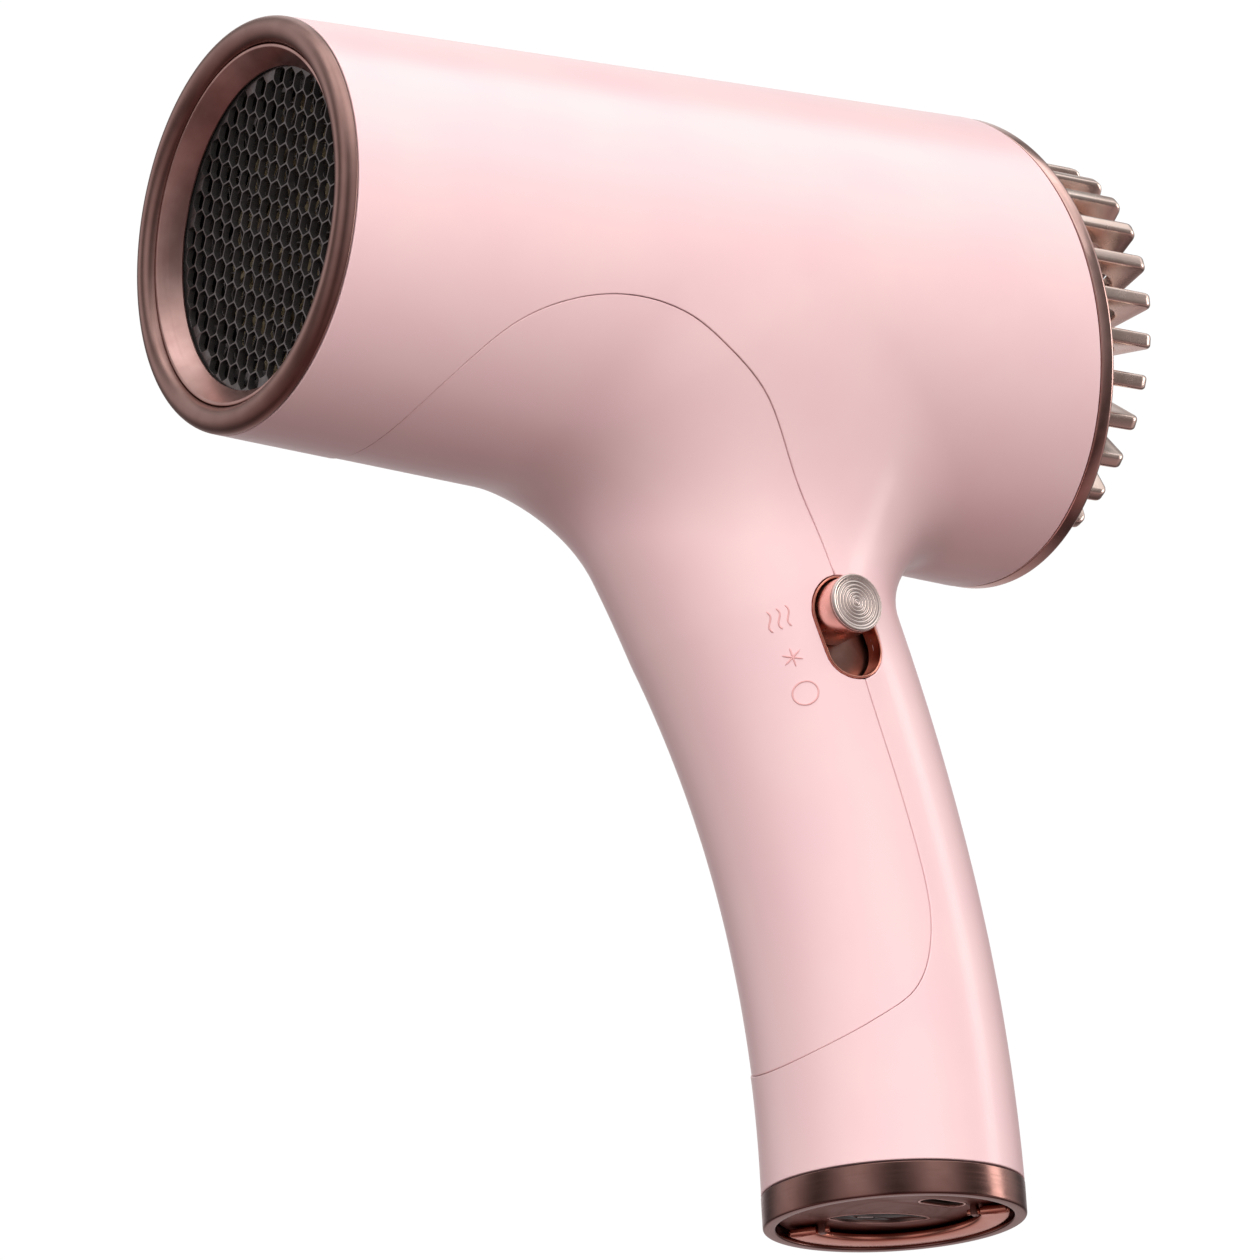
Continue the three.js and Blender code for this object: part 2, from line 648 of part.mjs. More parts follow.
function basePlate() {
  const disc = turnedUpright([
    [0, PLATE_Z], [20.3, PLATE_Z], [20.3, PLATE_Z + PLATE_T], [0, PLATE_Z + PLATE_T],
  ]);
  const pinWay = rod(fromHinge(-15, 0, LOOP_Z), fromHinge(15, 0, LOOP_Z), 0.6, 16);
  const lugs = hingeLug(-13.6).add(hingeLug(13.6)).subtract(pinWay);
  const plate = disc.subtract(footPrism(WINDOW, 0, 0, 5)).subtract(footPrism(SOCKET, 0.8, 0, 5));
  return piece('base_plate', plate.add(lugs), 'bronze');
}

function displayWindow() {
  const ledSpot = { x: -2.2, y: 5.6, length: 3, width: 0.9, turn: WINDOW.turn };
  const pane = footPrism(WINDOW, -GAP, 2.2, 3.2).subtract(footPrism(ledSpot, 0.25, 0, 5));
  const led = footPrism(ledSpot, 0, 2.2, 3.4);
  return [piece('display_window', pane, 'gloss'), piece('status_led', led, 'white')];
}

function chargingBoard() {
  const disc = turnedUpright([[0, 10.4], [18.2, 10.4], [18.2, 11.6], [0, 11.6]]);
  return piece('charging_board', disc, 'board');
}

function usbSocket() {
  const can = footPrism(SOCKET, 0, 2.4, 10.1).subtract(footPrism(SOCKET, -0.35, 0, 8.8));
  const tongue = footPrism({ ...SOCKET, length: 6.7, width: 0.7 }, 0, 4.2, 9.4);
  return piece('usb_socket', can.add(tongue), 'steel');
}

function hangingLoop() {
  const shape = new THREE.Shape();
  shape.absarc(0, 0, LOOP_R, 0, 2 * Math.PI, false);
  const hole = new THREE.Path();
  hole.absellipse(-0.8 * HINGE_NORMAL[0], -0.8 * HINGE_NORMAL[1], 15, 15, 0, 2 * Math.PI, false);
  shape.holes.push(hole);
  const geometry = extruded(shape, LOOP_T, 30);
  geometry.translate(0, 0, LOOP_Z - LOOP_T / 2);
  const keep = new THREE.BoxGeometry(60, 40, 10);
  keep.rotateZ(HINGE_ANGLE);
  keep.translate(...fromHinge(0, 20, 0));
  const half = solid(geometry).intersect(solid(keep));
  const outer = 19.3;
  const knuckles = [-1, 1].map((side) => rod(
    fromHinge(side * 14.7, 0, LOOP_Z),
    fromHinge(side * outer, 0, LOOP_Z),
    LOOP_T / 2,
    16,
  ));
  const stubs = [-1, 1].map((side) => rod(
    fromHinge(side * 12.3, 0, LOOP_Z),
    fromHinge(side * 15.5, 0, LOOP_Z),
    0.5,
    16,
  ));
  const loop = [...knuckles, ...stubs].reduce((shape3, part) => shape3.add(part), half);
  return piece('hanging_loop', loop, 'copper');
}

// ---------------------------------------------------------------- wiring
function lead(name, points, finish) {
  const path = new THREE.CatmullRomCurve3(points.map((p) => new THREE.Vector3(...p)));
  return piece(name, tubeAlong(path, 0.8, 9, 6), finish);
}

function wiring() {
  return [
    lead('heater_lead', [
      [-30, -6, 112], [-40, -5, 121], [-52, -3, 127.5], [-57.6, -2.5, 131.5], [-59, -2.5, 142],
    ], 'white'),
    lead('motor_lead', [
      [-30, 3, 112], [-40, 3.5, 121], [-52, 3, 127.5], [-57.4, 2.5, 131.5], [-58, 2.4, 147],
    ], 'redWire'),
    lead('battery_lead_1', [[-12, -4, 84.5], [-15, -5, 88], [-19, -6.5, 93], [-21, -7.5, 97]], 'redWire'),
    lead('battery_lead_2', [[-12, 5, 84.5], [-16, 1, 90], [-21, -4, 99], [-23, -7.5, 103]], 'black'),
  ];
}

// ---------------------------------------------------------------- assembly
const dryer = new THREE.Group();
dryer.add(
  ...shells(), outletRing(), honeycomb('outlet_mesh', MESH_X, MESH_R, 1, MESH_PITCH, 'black'),
  airDuct(), heaterSleeve(),
  micaBoard('mica_board_a', -85, HEATER_X1 + 1, 0), micaBoard('mica_board_b', HEATER_X0 - 1, -84.4, 90),
  heatingCoil(), ...heaterGuards(), stator(), ...motor(), fanRotor(), rearTrimRing(), rearGrille(),
  honeycomb('inlet_filter', 15, 34, 0.8, 1.3 * MESH_PITCH, 'darkSteel'),
  ...switchParts(), controlBoard(), ...batteryPack(),
  chargingBoard(), usbSocket(), footBand(), basePlate(), ...displayWindow(), hangingLoop(), ...wiring(),
);

export default dryer;
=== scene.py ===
"""The looks of a cordless travel hair dryer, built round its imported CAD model.

Shapes are worked out in millimetres in the CAD's own frame and become metres as a mesh is made.
The barrel runs along X with its outlet at -X; the grip stands on the origin; +Z is up.
"""
import functools
import math

import bmesh
import bpy
import numpy as np
from mathutils import Matrix, Vector


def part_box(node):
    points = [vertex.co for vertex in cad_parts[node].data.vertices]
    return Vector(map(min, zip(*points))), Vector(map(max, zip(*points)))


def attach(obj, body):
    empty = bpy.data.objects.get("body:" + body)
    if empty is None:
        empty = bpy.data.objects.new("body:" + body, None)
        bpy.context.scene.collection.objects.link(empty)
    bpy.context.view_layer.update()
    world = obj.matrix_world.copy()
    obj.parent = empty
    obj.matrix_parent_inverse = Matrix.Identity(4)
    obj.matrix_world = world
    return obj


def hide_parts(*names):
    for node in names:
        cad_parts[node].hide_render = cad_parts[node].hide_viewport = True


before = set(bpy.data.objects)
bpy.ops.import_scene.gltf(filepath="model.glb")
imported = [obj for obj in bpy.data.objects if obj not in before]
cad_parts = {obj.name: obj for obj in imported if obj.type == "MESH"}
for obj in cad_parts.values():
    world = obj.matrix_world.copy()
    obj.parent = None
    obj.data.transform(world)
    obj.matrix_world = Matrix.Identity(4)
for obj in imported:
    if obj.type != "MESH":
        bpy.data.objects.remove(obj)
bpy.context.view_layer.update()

MM = 0.001


def box_mm(node):
    """A CAD node's lowest and highest corners in millimetres."""
    low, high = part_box(node)
    return np.array(low) / MM, np.array(high) / MM


# ---------------------------------------------------------------- sizes, read from the frame
RING_LOW, RING_HIGH = box_mm("outlet_ring")
SHELL_FRONT_X = box_mm("main_shell")[0][0]
CAGE_X = box_mm("rear_grille")[1][0]
MESH_LOW, MESH_HIGH = box_mm("outlet_mesh")
FILTER_LOW, FILTER_HIGH = box_mm("inlet_filter")
SOCKET_LOW, SOCKET_HIGH = box_mm("usb_socket")
BUTTON_FACE_Y = box_mm("slide_button")[0][1]
SHUTTER_TOP_Y = box_mm("slide_shutter")[1][1]
LINER_FLOOR_Y = box_mm("switch_liner")[1][1]
FOOT_R = box_mm("base_band")[1][1]

GAP = 0.3  # clearance between neighbouring pieces
WALL = 2.0  # moulded wall
AXIS_Z = (RING_LOW[2] + RING_HIGH[2]) / 2
OUTLET_X = SHELL_FRONT_X - GAP  # the plane where the bead begins
BARREL_R_FRONT = RING_HIGH[1]
BARREL_R_REAR = 42.0
REAR_X = 26.0  # where the raked rear edge crosses the axis
RAKE = math.radians(11)
TAPER = (BARREL_R_REAR - BARREL_R_FRONT) / (REAR_X - OUTLET_X)

GRIP_BEND_R = 250.0  # the grip's centre line is an arc of this radius
GRIP_BEND_Z = 6.0  # and is upright at this height
GRIP_WAIST_R = 22.3
GRIP_WAIST_ARC = 52.0  # the slimmest place, measured up the arc
GRIP_TOP_ARC = 146.0  # the grip's tube ends inside the barrel
FLARE = 18.0  # size of the soft blend of grip into barrel, at the flanks
FLARE_REAR = 13.0  # less at the rear
FLARE_FRONT = 9.5  # and at the front
LOBE = 15.0  # how far the grip widens rearward where it meets the barrel
LOBE_REACH = 20.0  # and how far out from the barrel that starts
LOBE_LIMIT = 1.1  # keeps it from growing on inside the barrel

FOOT_H = 5.7
SWITCH_ARC = 98.2
SWITCH_TRAVEL = 6.4
SLOT_W = 11.2


# ---------------------------------------------------------------- meshes
def mesh_piece(name, verts_mm, faces, material, body="dryer", slot=None, replaces=(), normals=None):
    """A new object from points in millimetres, riding on its CAD body."""
    mesh = bpy.data.meshes.new(name)
    mesh.from_pydata((np.asarray(verts_mm, float) * MM).tolist(), [], [list(map(int, f)) for f in faces])
    mesh.validate()
    mesh.polygons.foreach_set("use_smooth", [True] * len(mesh.polygons))
    if normals is not None:
        mesh.normals_split_custom_set_from_vertices(np.asarray(normals, float).tolist())
    mesh.materials.append(material)
    obj = bpy.data.objects.new(name, mesh)
    bpy.context.scene.collection.objects.link(obj)
    settle(obj, body, slot, replaces)
    return obj


def settle(obj, body, slot, replaces):
    """Ties a finished piece to its body and hides the CAD nodes it stands for; its finish slot is not used.
    """
    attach(obj, body)
    if replaces:
        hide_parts(*replaces)


def recentre(obj, centre_mm):
    """Moves the object's origin to a place, so that its material can turn about it."""
    offset = Vector(centre_mm) * MM
    world = obj.matrix_world.copy()
    obj.data.transform(Matrix.Translation(-offset))
    obj.matrix_world = world @ Matrix.Translation(offset)


def filleted(points, radii, steps=5):
    """A closed outline with each corner rounded by its own radius."""
    points = [np.array(p, float) for p in points]
    outline = []
    for i, corner in enumerate(points):
        radius = radii[i] if hasattr(radii, "__len__") else radii
        to_last = points[i - 1] - corner
        to_next = points[(i + 1) % len(points)] - corner
        len_last, len_next = np.linalg.norm(to_last), np.linalg.norm(to_next)
        u, v = to_last / len_last, to_next / len_next
        half = math.acos(np.clip(u @ v, -1, 1)) / 2
        if radius <= 0 or half > math.pi / 2 - 0.02:
            outline.append(corner)
            continue
        reach = min(radius / math.tan(half), 0.48 * len_last, 0.48 * len_next)
        true_r = reach * math.tan(half)
        middle = corner + (u + v) / np.linalg.norm(u + v) * (true_r / math.sin(half))
        start, end = corner + u * reach - middle, corner + v * reach - middle
        turn = math.pi - 2 * half
        for k in range(steps + 1):
            w = k / steps
            blend = (math.sin((1 - w) * turn) * start + math.sin(w * turn) * end) / math.sin(turn)
            outline.append(middle + blend)
    return outline


def ring_faces(rows, count, closed_rows):
    """Quads of a grid of rows, each a closed ring of count points."""
    faces = []
    last = rows if closed_rows else rows - 1
    for i in range(last):
        a, b = i * count, ((i + 1) % rows) * count
        for j in range(count):
            k = (j + 1) % count
            faces.append((a + j, a + k, b + k, b + j))
    return faces


def turned(name, profile, material, axis="X", centre=(0, 0, 0), segments=160, **kw):
    """A solid of revolution from a closed outline of (place along axis, radius)."""
    verts = []
    for along, radius in profile:
        for j in range(segments):
            a = 2 * math.pi * j / segments
            c, s = radius * math.cos(a), radius * math.sin(a)
            verts.append({"X": (along, c, s), "Y": (s, along, c), "Z": (c, s, along)}[axis])
    verts = np.array(verts) + np.array(centre)
    area = sum(a[0] * b[1] - b[0] * a[1] for a, b in zip(profile, profile[1:] + profile[:1]))
    faces = ring_faces(len(profile), segments, True)
    if area > 0:
        faces = [f[::-1] for f in faces]
    obj = mesh_piece(name, verts, faces, material, **kw)
    recentre(obj, centre)
    return obj


def flat_shape(name, outlines, z0, z1, material, bevel=0.15, matrix=None, **kw):
    """A plate from an outer outline and holes, with rounded edges, drawn in XY and then placed."""
    curve = bpy.data.curves.new(name, "CURVE")
    curve.dimensions = "2D"
    curve.fill_mode = "BOTH"
    curve.extrude = ((z1 - z0) / 2 - bevel) * MM
    curve.bevel_depth = bevel * MM
    curve.bevel_resolution = 2
    curve.offset = -bevel * MM
    for outline in outlines:
        spline = curve.splines.new("POLY")
        spline.points.add(len(outline) - 1)
        for point, (x, y) in zip(spline.points, outline):
            point.co = (x * MM, y * MM, 0, 1)
        spline.use_cyclic_u = True
    source = bpy.data.objects.new(name + ".outline", curve)
    bpy.context.scene.collection.objects.link(source)
    bpy.context.view_layer.update()
    mesh = bpy.data.meshes.new_from_object(source.evaluated_get(bpy.context.evaluated_depsgraph_get()))
    bpy.data.objects.remove(source)
    weld(mesh)
    mesh.transform(Matrix.Translation((0, 0, (z0 + z1) / 2 * MM)))
    if matrix is not None:
        mesh.transform(matrix)
    mesh.name = name
    mesh.materials.clear()
    mesh.materials.append(material)
    mesh.polygons.foreach_set("use_smooth", [True] * len(mesh.polygons))
    mesh.set_sharp_from_angle(angle=math.radians(50))
    obj = bpy.data.objects.new(name, mesh)
    bpy.context.scene.collection.objects.link(obj)
    settle(obj, **{"body": "dryer", "slot": None, "replaces": (), **kw})
    return obj


def weld(mesh, distance_mm=0.002):
    """Merges doubled points and turns the faces outward."""
    work = bmesh.new()
    work.from_mesh(mesh)
    bmesh.ops.remove_doubles(work, verts=work.verts, dist=distance_mm * MM)
    bmesh.ops.dissolve_degenerate(work, dist=1e-7, edges=work.edges)
    bmesh.ops.recalc_face_normals(work, faces=work.faces)
    work.to_mesh(mesh)
    work.free()


def circle(radius, count):
    turns = [2 * math.pi * k / count for k in range(count)]
    return [(radius * math.cos(a), radius * math.sin(a)) for a in turns]


# ---------------------------------------------------------------- materials
def srgb(r, g, b):
    """A colour given as 0-255 screen values, for a shader socket."""
    shades = [((c / 255 + 0.055) / 1.055) ** 2.4 if c > 10 else c / 255 / 12.92 for c in (r, g, b)]
    return (*shades, 1.0)


def arithmetic(tree, operation, *values):
    """A math node's result, from numbers and sockets."""
    made = tree.nodes.new("ShaderNodeMath")
    made.operation = operation
    for place, value in enumerate(values):
        if isinstance(value, bpy.types.NodeSocket):
            tree.links.new(value, made.inputs[place])
        else:
            made.inputs[place].default_value = value
    return made.outputs[0]


class Finish:
    """A procedural material: a Principled shader with its colour, roughness and bump driven by noise."""

    def __init__(self, name, colour, roughness, metallic=0.0, **sockets):
        self.material = bpy.data.materials.new(name)
        self.material.use_nodes = True
        self.tree = self.material.node_tree
        self.shader = self.tree.nodes["Principled BSDF"]
        self.colour = srgb(*colour)
        self.roughness = roughness
        self.set("Base Color", self.colour)
        self.set("Roughness", roughness)
        self.set("Metallic", metallic)
        for socket, value in sockets.items():
            self.set(socket.replace("_", " "), value)

    def set(self, socket, value):
        self.shader.inputs[socket].default_value = value

    def node(self, kind, **inputs):
        made = self.tree.nodes.new(kind)
        for key, value in inputs.items():
            place = key.replace("_", " ")
            if isinstance(value, bpy.types.NodeSocket):
                self.tree.links.new(value, made.inputs[place])
            else:
                made.inputs[place].default_value = value
        return made

    def place(self):
        return self.tree.nodes.new("ShaderNodeTexCoord").outputs["Object"]

    def around(self, axis):
        """Coordinates that stay the same all round an axis, for spun and turned surfaces."""
        split = self.node("ShaderNodeSeparateXYZ", Vector=self.place()).outputs
        along = split[axis]
        others = [split[k] for k in "XYZ" if k != axis]
        squares = [arithmetic(self.tree, "MULTIPLY", part, part) for part in others]
        radius = arithmetic(self.tree, "SQRT", arithmetic(self.tree, "ADD", *squares))
        return self.node("ShaderNodeCombineXYZ", X=along, Y=radius).outputs[0]

    def noise(self, scale, detail=3.0, vector=None):
        vector = vector or self.place()
        made = self.node("ShaderNodeTexNoise", Vector=vector, Scale=scale, Detail=detail)
        return made.outputs["Fac"]

    def spread(self, value, low, high):
        """The middle of a noise, stretched to run from low to high."""
        made = self.node("ShaderNodeMapRange", Value=value)
        made.inputs["From Min"].default_value = 0.3
        made.inputs["From Max"].default_value = 0.7
        made.inputs["To Min"].default_value = low
        made.inputs["To Max"].default_value = high
        return made.outputs[0]

    def mottle(self, scale, other):
        """Soft colour variation between the base colour and a second one, or a share darker."""
        if isinstance(other, float):
            dark = (*(c * (1 - other) for c in self.colour[:3]), 1.0)
        else:
            dark = srgb(*other)
        mix = self.tree.nodes.new("ShaderNodeMix")
        mix.data_type = "RGBA"
        self.tree.links.new(self.spread(self.noise(scale), 0.0, 1.0), mix.inputs["Factor"])
        mix.inputs[6].default_value = self.colour
        mix.inputs[7].default_value = dark
        self.tree.links.new(mix.outputs[2], self.shader.inputs["Base Color"])
        return self

    def uneven(self, scale, amount, vector=None):
        """Roughness that varies a little over the surface."""
        noise = self.noise(scale, vector=vector)
        value = self.spread(noise, self.roughness - amount, self.roughness + amount)
        self.tree.links.new(value, self.shader.inputs["Roughness"])
        return self

    def grain(self, scale, strength, distance_mm, vector=None):
        """Fine relief."""
        bump = self.node("ShaderNodeBump", Height=self.noise(scale, 2.0, vector), Strength=strength,
                         Distance=distance_mm * MM)
        self.tree.links.new(bump.outputs[0], self.shader.inputs["Normal"])
        return self

    def spun(self, axis, amount):
        """Reflections drawn out across brush marks that run round an axis."""
        tangent = self.tree.nodes.new("ShaderNodeTangent")
        tangent.direction_type = "RADIAL"
        tangent.axis = axis
        self.tree.links.new(tangent.outputs[0], self.shader.inputs["Tangent"])
        self.set("Anisotropic", amount)
        return self


def brushed(name, colour, other, roughness, axis, anisotropy, marks, strength):
    """Metal with brush marks all round an axis."""
    made = Finish(name, colour, roughness, 1.0)
    lines = made.around(axis)
    made.mottle(220.0, other).uneven(marks, 0.05, lines).grain(marks, strength, 0.02, lines)
    return made.spun(axis, anisotropy).material


PEARL = dict(Coat_Weight=0.4, Coat_Roughness=0.2, Specular_IOR_Level=0.45)
# key: name, colour, roughness, metallic, mottle, uneven, grain, further sockets
PLAIN = {
    "pink": ("pearl_pink", (243, 208, 208), 0.36, 0,
             (60, (241, 203, 206)), (90, 0.03), (2600, 0.05, 0.02), PEARL),
    "mark": ("embossed_pink", (236, 180, 178), 0.4, 0, (300, 0.05), None, (2600, 0.1, 0.02), PEARL),
    "gold": ("rose_gold_plate", (252, 232, 222), 0.26, 1,
             (150, (244, 218, 206)), (400, 0.02), (900, 0.02, 0.02)),
    "trim": ("rose_gold_polish", (226, 190, 182), 0.2, 1,
             (150, (214, 174, 165)), (400, 0.04), (900, 0.03, 0.03)),
    "copper": ("polished_copper", (246, 178, 158), 0.22, 1,
               (200, (236, 158, 136)), (500, 0.02), (1200, 0.02, 0.02)),
    "rose": ("rose_plate", (250, 210, 198), 0.28, 1,
             (200, (244, 196, 182)), (500, 0.02), (1200, 0.02, 0.02)),
    "black": ("black_plastic", (24, 23, 24), 0.45, 0, (300, 0.3), (500, 0.08), (3000, 0.3, 0.05),
              dict(Specular_IOR_Level=0.3)),
    "wire": ("black_lacquered_mesh", (112, 106, 106), 0.3, 0.8,
             (500, 0.3), (900, 0.08), (2500, 0.2, 0.03)),
    "steel": ("bright_steel", (200, 196, 192), 0.25, 1, (300, 0.1), (700, 0.06), (2000, 0.08, 0.02)),
    "dark": ("dark_steel", (95, 88, 84), 0.42, 1, (300, 0.2), (700, 0.08), (1500, 0.2, 0.03)),
    "mica": ("mica", (205, 190, 160), 0.5, 0, (500, (160, 140, 105)), (600, 0.1), (1200, 0.2, 0.05)),
    "nichrome": ("nichrome", (150, 138, 126), 0.38, 1, (900, 0.3), (900, 0.08), (3000, 0.15, 0.02)),
    "ceramic": ("white_ceramic", (232, 230, 222), 0.4, 0, (400, 0.06), (500, 0.06), (2500, 0.15, 0.03)),
    "rubber": ("rubber", (30, 30, 32), 0.85, 0, (500, 0.2), (500, 0.06), (4000, 0.4, 0.05)),
    "board": ("circuit_board", (26, 92, 54), 0.4, 0,
              (900, (18, 62, 38)), (800, 0.1), (1500, 0.3, 0.04)),
    "wrap": ("cell_wrap", (58, 110, 176), 0.35, 0, (120, 0.1), (500, 0.06), (900, 0.15, 0.05)),
    "gloss": ("black_glass", (10, 9, 10), 0.12, 0, (400, 0.3), (300, 0.02), (600, 0.01, 0.02),
              dict(Specular_IOR_Level=0.06)),
    "lamp": ("light_pipe", (196, 190, 186), 0.3, 0, (900, 0.08), (900, 0.05), (2500, 0.1, 0.02)),
}
# key: name, colour, second colour, roughness, axis of the marks, anisotropy, marks, strength
BRUSHED = {
    "bead": ("satin_bronze", (172, 138, 131), (160, 126, 119), 0.33, "X", 0.35, 700, 0.06),
    "cone": ("brushed_bronze_cone", (212, 174, 167), (192, 152, 145), 0.32, "X", 0.6, 1600, 0.2),
    "band": ("brushed_bronze_band", (152, 116, 109), (140, 104, 97), 0.2, "Z", 0.4, 2600, 0.03),
    "plate": ("bronze_plate", (160, 120, 112), (146, 106, 98), 0.4, "Z", 0.3, 900, 0.08),
    "spun": ("spun_steel", (238, 224, 218), (216, 200, 193), 0.24, "Y", 0.85, 2600, 0.04),
    "floor_plate": ("brushed_shutter", (190, 150, 138), (160, 120, 108), 0.35, "Y", 0.5, 1800, 0.3),
}


def plain(name, colour, roughness, metallic, mottle, uneven, grain, sockets=None):
    """A finish with no direction to it."""
    made = Finish(name, colour, roughness, metallic, **(sockets or {}))
    made.mottle(*mottle).grain(*grain)
    if uneven:
        made.uneven(*uneven)
    return made.material


FINISH = {key: plain(*row) for key, row in PLAIN.items()}
for hue, shade in (("white", (225, 222, 215)), ("red", (176, 34, 34)), ("black", (26, 26, 28))):
    FINISH[hue + "_wire"] = plain(hue + "_insulation", shade, 0.45, 0,
                                  (700, 0.08), (700, 0.06), (2500, 0.15, 0.03))
FINISH.update({key: brushed(*row) for key, row in BRUSHED.items()})


# ---------------------------------------------------------------- the moulded skin
def grip_at(arc):
    """Centre point (x, z) and lean of the grip's arc."""
    lean = arc / GRIP_BEND_R
    return -GRIP_BEND_R * (1 - math.cos(lean)), GRIP_BEND_Z + GRIP_BEND_R * math.sin(lean), lean


def grip_radius(arc):
    below = 0.45 * ((GRIP_WAIST_ARC - arc) / GRIP_WAIST_ARC) ** 2
    above = 1.0 * ((arc - GRIP_WAIST_ARC) / 46.0) ** 2
    return GRIP_WAIST_R + np.where(arc < GRIP_WAIST_ARC, below, np.minimum(above, 1.3))


def skin(p):
    """Signed distance to the outer skin: a cone and a bent tube, softly blended."""
    x, y, z = p[:, 0], p[:, 1], p[:, 2]
    reach = BARREL_R_FRONT + TAPER * (x - OUTLET_X)
    barrel = (np.hypot(y, z - AXIS_Z) - reach) * math.cos(math.atan(TAPER))
    lean = np.clip(np.arctan2(z - GRIP_BEND_Z, x + GRIP_BEND_R), 0, GRIP_TOP_ARC / GRIP_BEND_R)
    along = np.where(z < GRIP_BEND_Z, 0, z - GRIP_BEND_Z - GRIP_BEND_R * np.sin(lean))
    across = x + GRIP_BEND_R * (1 - np.cos(lean))
    rearward = across / np.maximum(np.hypot(across, y), 1e-6)
    behind = np.clip((rearward + 0.3) / 0.9, 0, 1)
    behind = behind**2 * (3 - 2 * behind)
    lobe = LOBE * behind * np.clip(1 - barrel / LOBE_REACH, 0, LOBE_LIMIT) ** 2
    grip = np.sqrt(along**2 + across**2 + y**2) - grip_radius(lean * GRIP_BEND_R) - lobe
    flare = FLARE - FLARE_REAR * behind - FLARE_FRONT * np.maximum(-rearward, 0) ** 2
    overlap = np.maximum(flare - np.abs(barrel - grip), 0) / flare
    return np.minimum(barrel, grip) - overlap**2 * flare / 4


def slope(field, p, step=0.02):
    """Gradient of a field by small differences."""
    parts = []
    for axis in range(3):
        shift = np.zeros(3)
        shift[axis] = step
        parts.append((field(p + shift) - field(p - shift)) / (2 * step))
    return np.stack(parts, 1)


def unit(rows):
    """Each row at length one."""
    return rows / np.maximum(np.linalg.norm(rows, axis=1), 1e-9)[:, None]


def onto(field, p, rounds=4):
    """Moves points onto a field's zero surface."""
    for _ in range(rounds):
        g = slope(field, p)
        p = p - g * (field(p) / np.maximum((g * g).sum(1), 1e-9))[:, None]
    return p


def surface_net(field, low, high, step):
    """A quad mesh of a field's zero surface, open where it leaves the box."""
    axes = [np.arange(low[a], high[a] + step, step) for a in range(3)]
    shape = np.array([len(a) for a in axes])
    grid = np.stack(np.meshgrid(*axes, indexing="ij"), -1).reshape(-1, 3)
    values = field(grid).reshape(shape)
    total = np.zeros((*(shape - 1), 3))
    count = np.zeros(shape - 1)
    edges = []
    for axis in range(3):
        first = np.take(values, range(shape[axis] - 1), axis)
        second = np.take(values, range(1, shape[axis]), axis)
        cut = np.argwhere((first < 0) != (second < 0))
        a, b = first[tuple(cut.T)], second[tuple(cut.T)]
        point = np.array(low) + cut * step
        point[:, axis] += a / (a - b) * step
        u, v = (axis + 1) % 3, (axis + 2) % 3
        around = []
        for du, dv in ((0, 0), (-1, 0), (-1, -1), (0, -1)):
            cell = cut.copy()
            cell[:, u] += du
            cell[:, v] += dv
            inside = ((cell >= 0) & (cell < shape - 1)).all(1)
            np.add.at(total, tuple(cell[inside].T), point[inside])
            np.add.at(count, tuple(cell[inside].T), 1)
            around.append((cell, inside))
        edges.append((around, a < 0))
    number = np.full(shape - 1, -1)
    used = np.argwhere(count > 0)
    number[tuple(used.T)] = np.arange(len(used))
    verts = total[tuple(used.T)] / count[tuple(used.T)][:, None]
    quads = []
    for around, outward in edges:
        whole = np.all([inside for _, inside in around], 0)
        corners = np.stack([number[tuple(cell[whole].T)] for cell, _ in around], 1)
        flip = ~outward[whole]
        corners[flip] = corners[flip][:, ::-1]
        quads.append(corners)
    return verts, np.concatenate(quads)


def halves(verts, quads):
    """Triangles from quads, split along the shorter diagonal."""
    a, b, c, d = (verts[quads[:, k]] for k in range(4))
    short = np.linalg.norm(a - c, axis=1) < np.linalg.norm(b - d, axis=1)
    first = np.where(short[:, None], quads[:, [0, 1, 2]], quads[:, [0, 1, 3]])
    second = np.where(short[:, None], quads[:, [0, 2, 3]], quads[:, [1, 2, 3]])
    return np.concatenate([first, second])


def trimmed(verts, tris, keep, pitch):
    """The part of a mesh where keep is positive, cut exactly along its zero line."""
    value = keep(verts)
    near = np.abs(value) < 0.3 * pitch
    if near.any():
        verts = verts.copy()
        verts[near] = onto_line(keep, verts[near])
        value = np.where(near, 0.0, value)
    inside = value[tris] > 0
    outside = value[tris] < 0
    whole = tris[~outside.any(1) & inside.any(1)]
    mixed = tris[outside.any(1) & inside.any(1)]
    made = {}
    points = [verts]
    extra = []
    faces = []

    def crossing(i, j):
        key = (min(i, j), max(i, j))
        if key not in made:
            t = value[key[0]] / (value[key[0]] - value[key[1]])
            made[key] = len(verts) + len(extra)
            extra.append(verts[key[0]] * (1 - t) + verts[key[1]] * t)
        return made[key]

    for tri in mixed:
        loop = []
        for k in range(3):
            i, j = int(tri[k]), int(tri[(k + 1) % 3])
            if value[i] >= 0:
                loop.append(i)
            if value[i] * value[j] < 0:
                loop.append(crossing(i, j))
        faces += [(loop[0], loop[k], loop[k + 1]) for k in range(1, len(loop) - 1)]
    if extra:
        points.append(onto_line(keep, np.array(extra)))
    verts = np.concatenate(points)
    tris = np.concatenate([whole, np.array(faces, int).reshape(-1, 3)])
    used, tris = np.unique(tris, return_inverse=True)
    return verts[used], tris.reshape(-1, 3)


def onto_line(keep, p):
    """Moves points along the skin onto the zero line of keep."""
    for _ in range(4):
        n = unit(slope(skin, p))
        g = slope(keep, p)
        g -= n * (g * n).sum(1)[:, None]
        move = g * (keep(p) / np.maximum((g * g).sum(1), 1e-6))[:, None]
        size = np.linalg.norm(move, axis=1)[:, None]
        p = p - move * np.minimum(1, 1.5 / np.maximum(size, 1e-9))
        p = p - n * skin(p)[:, None]
    return p


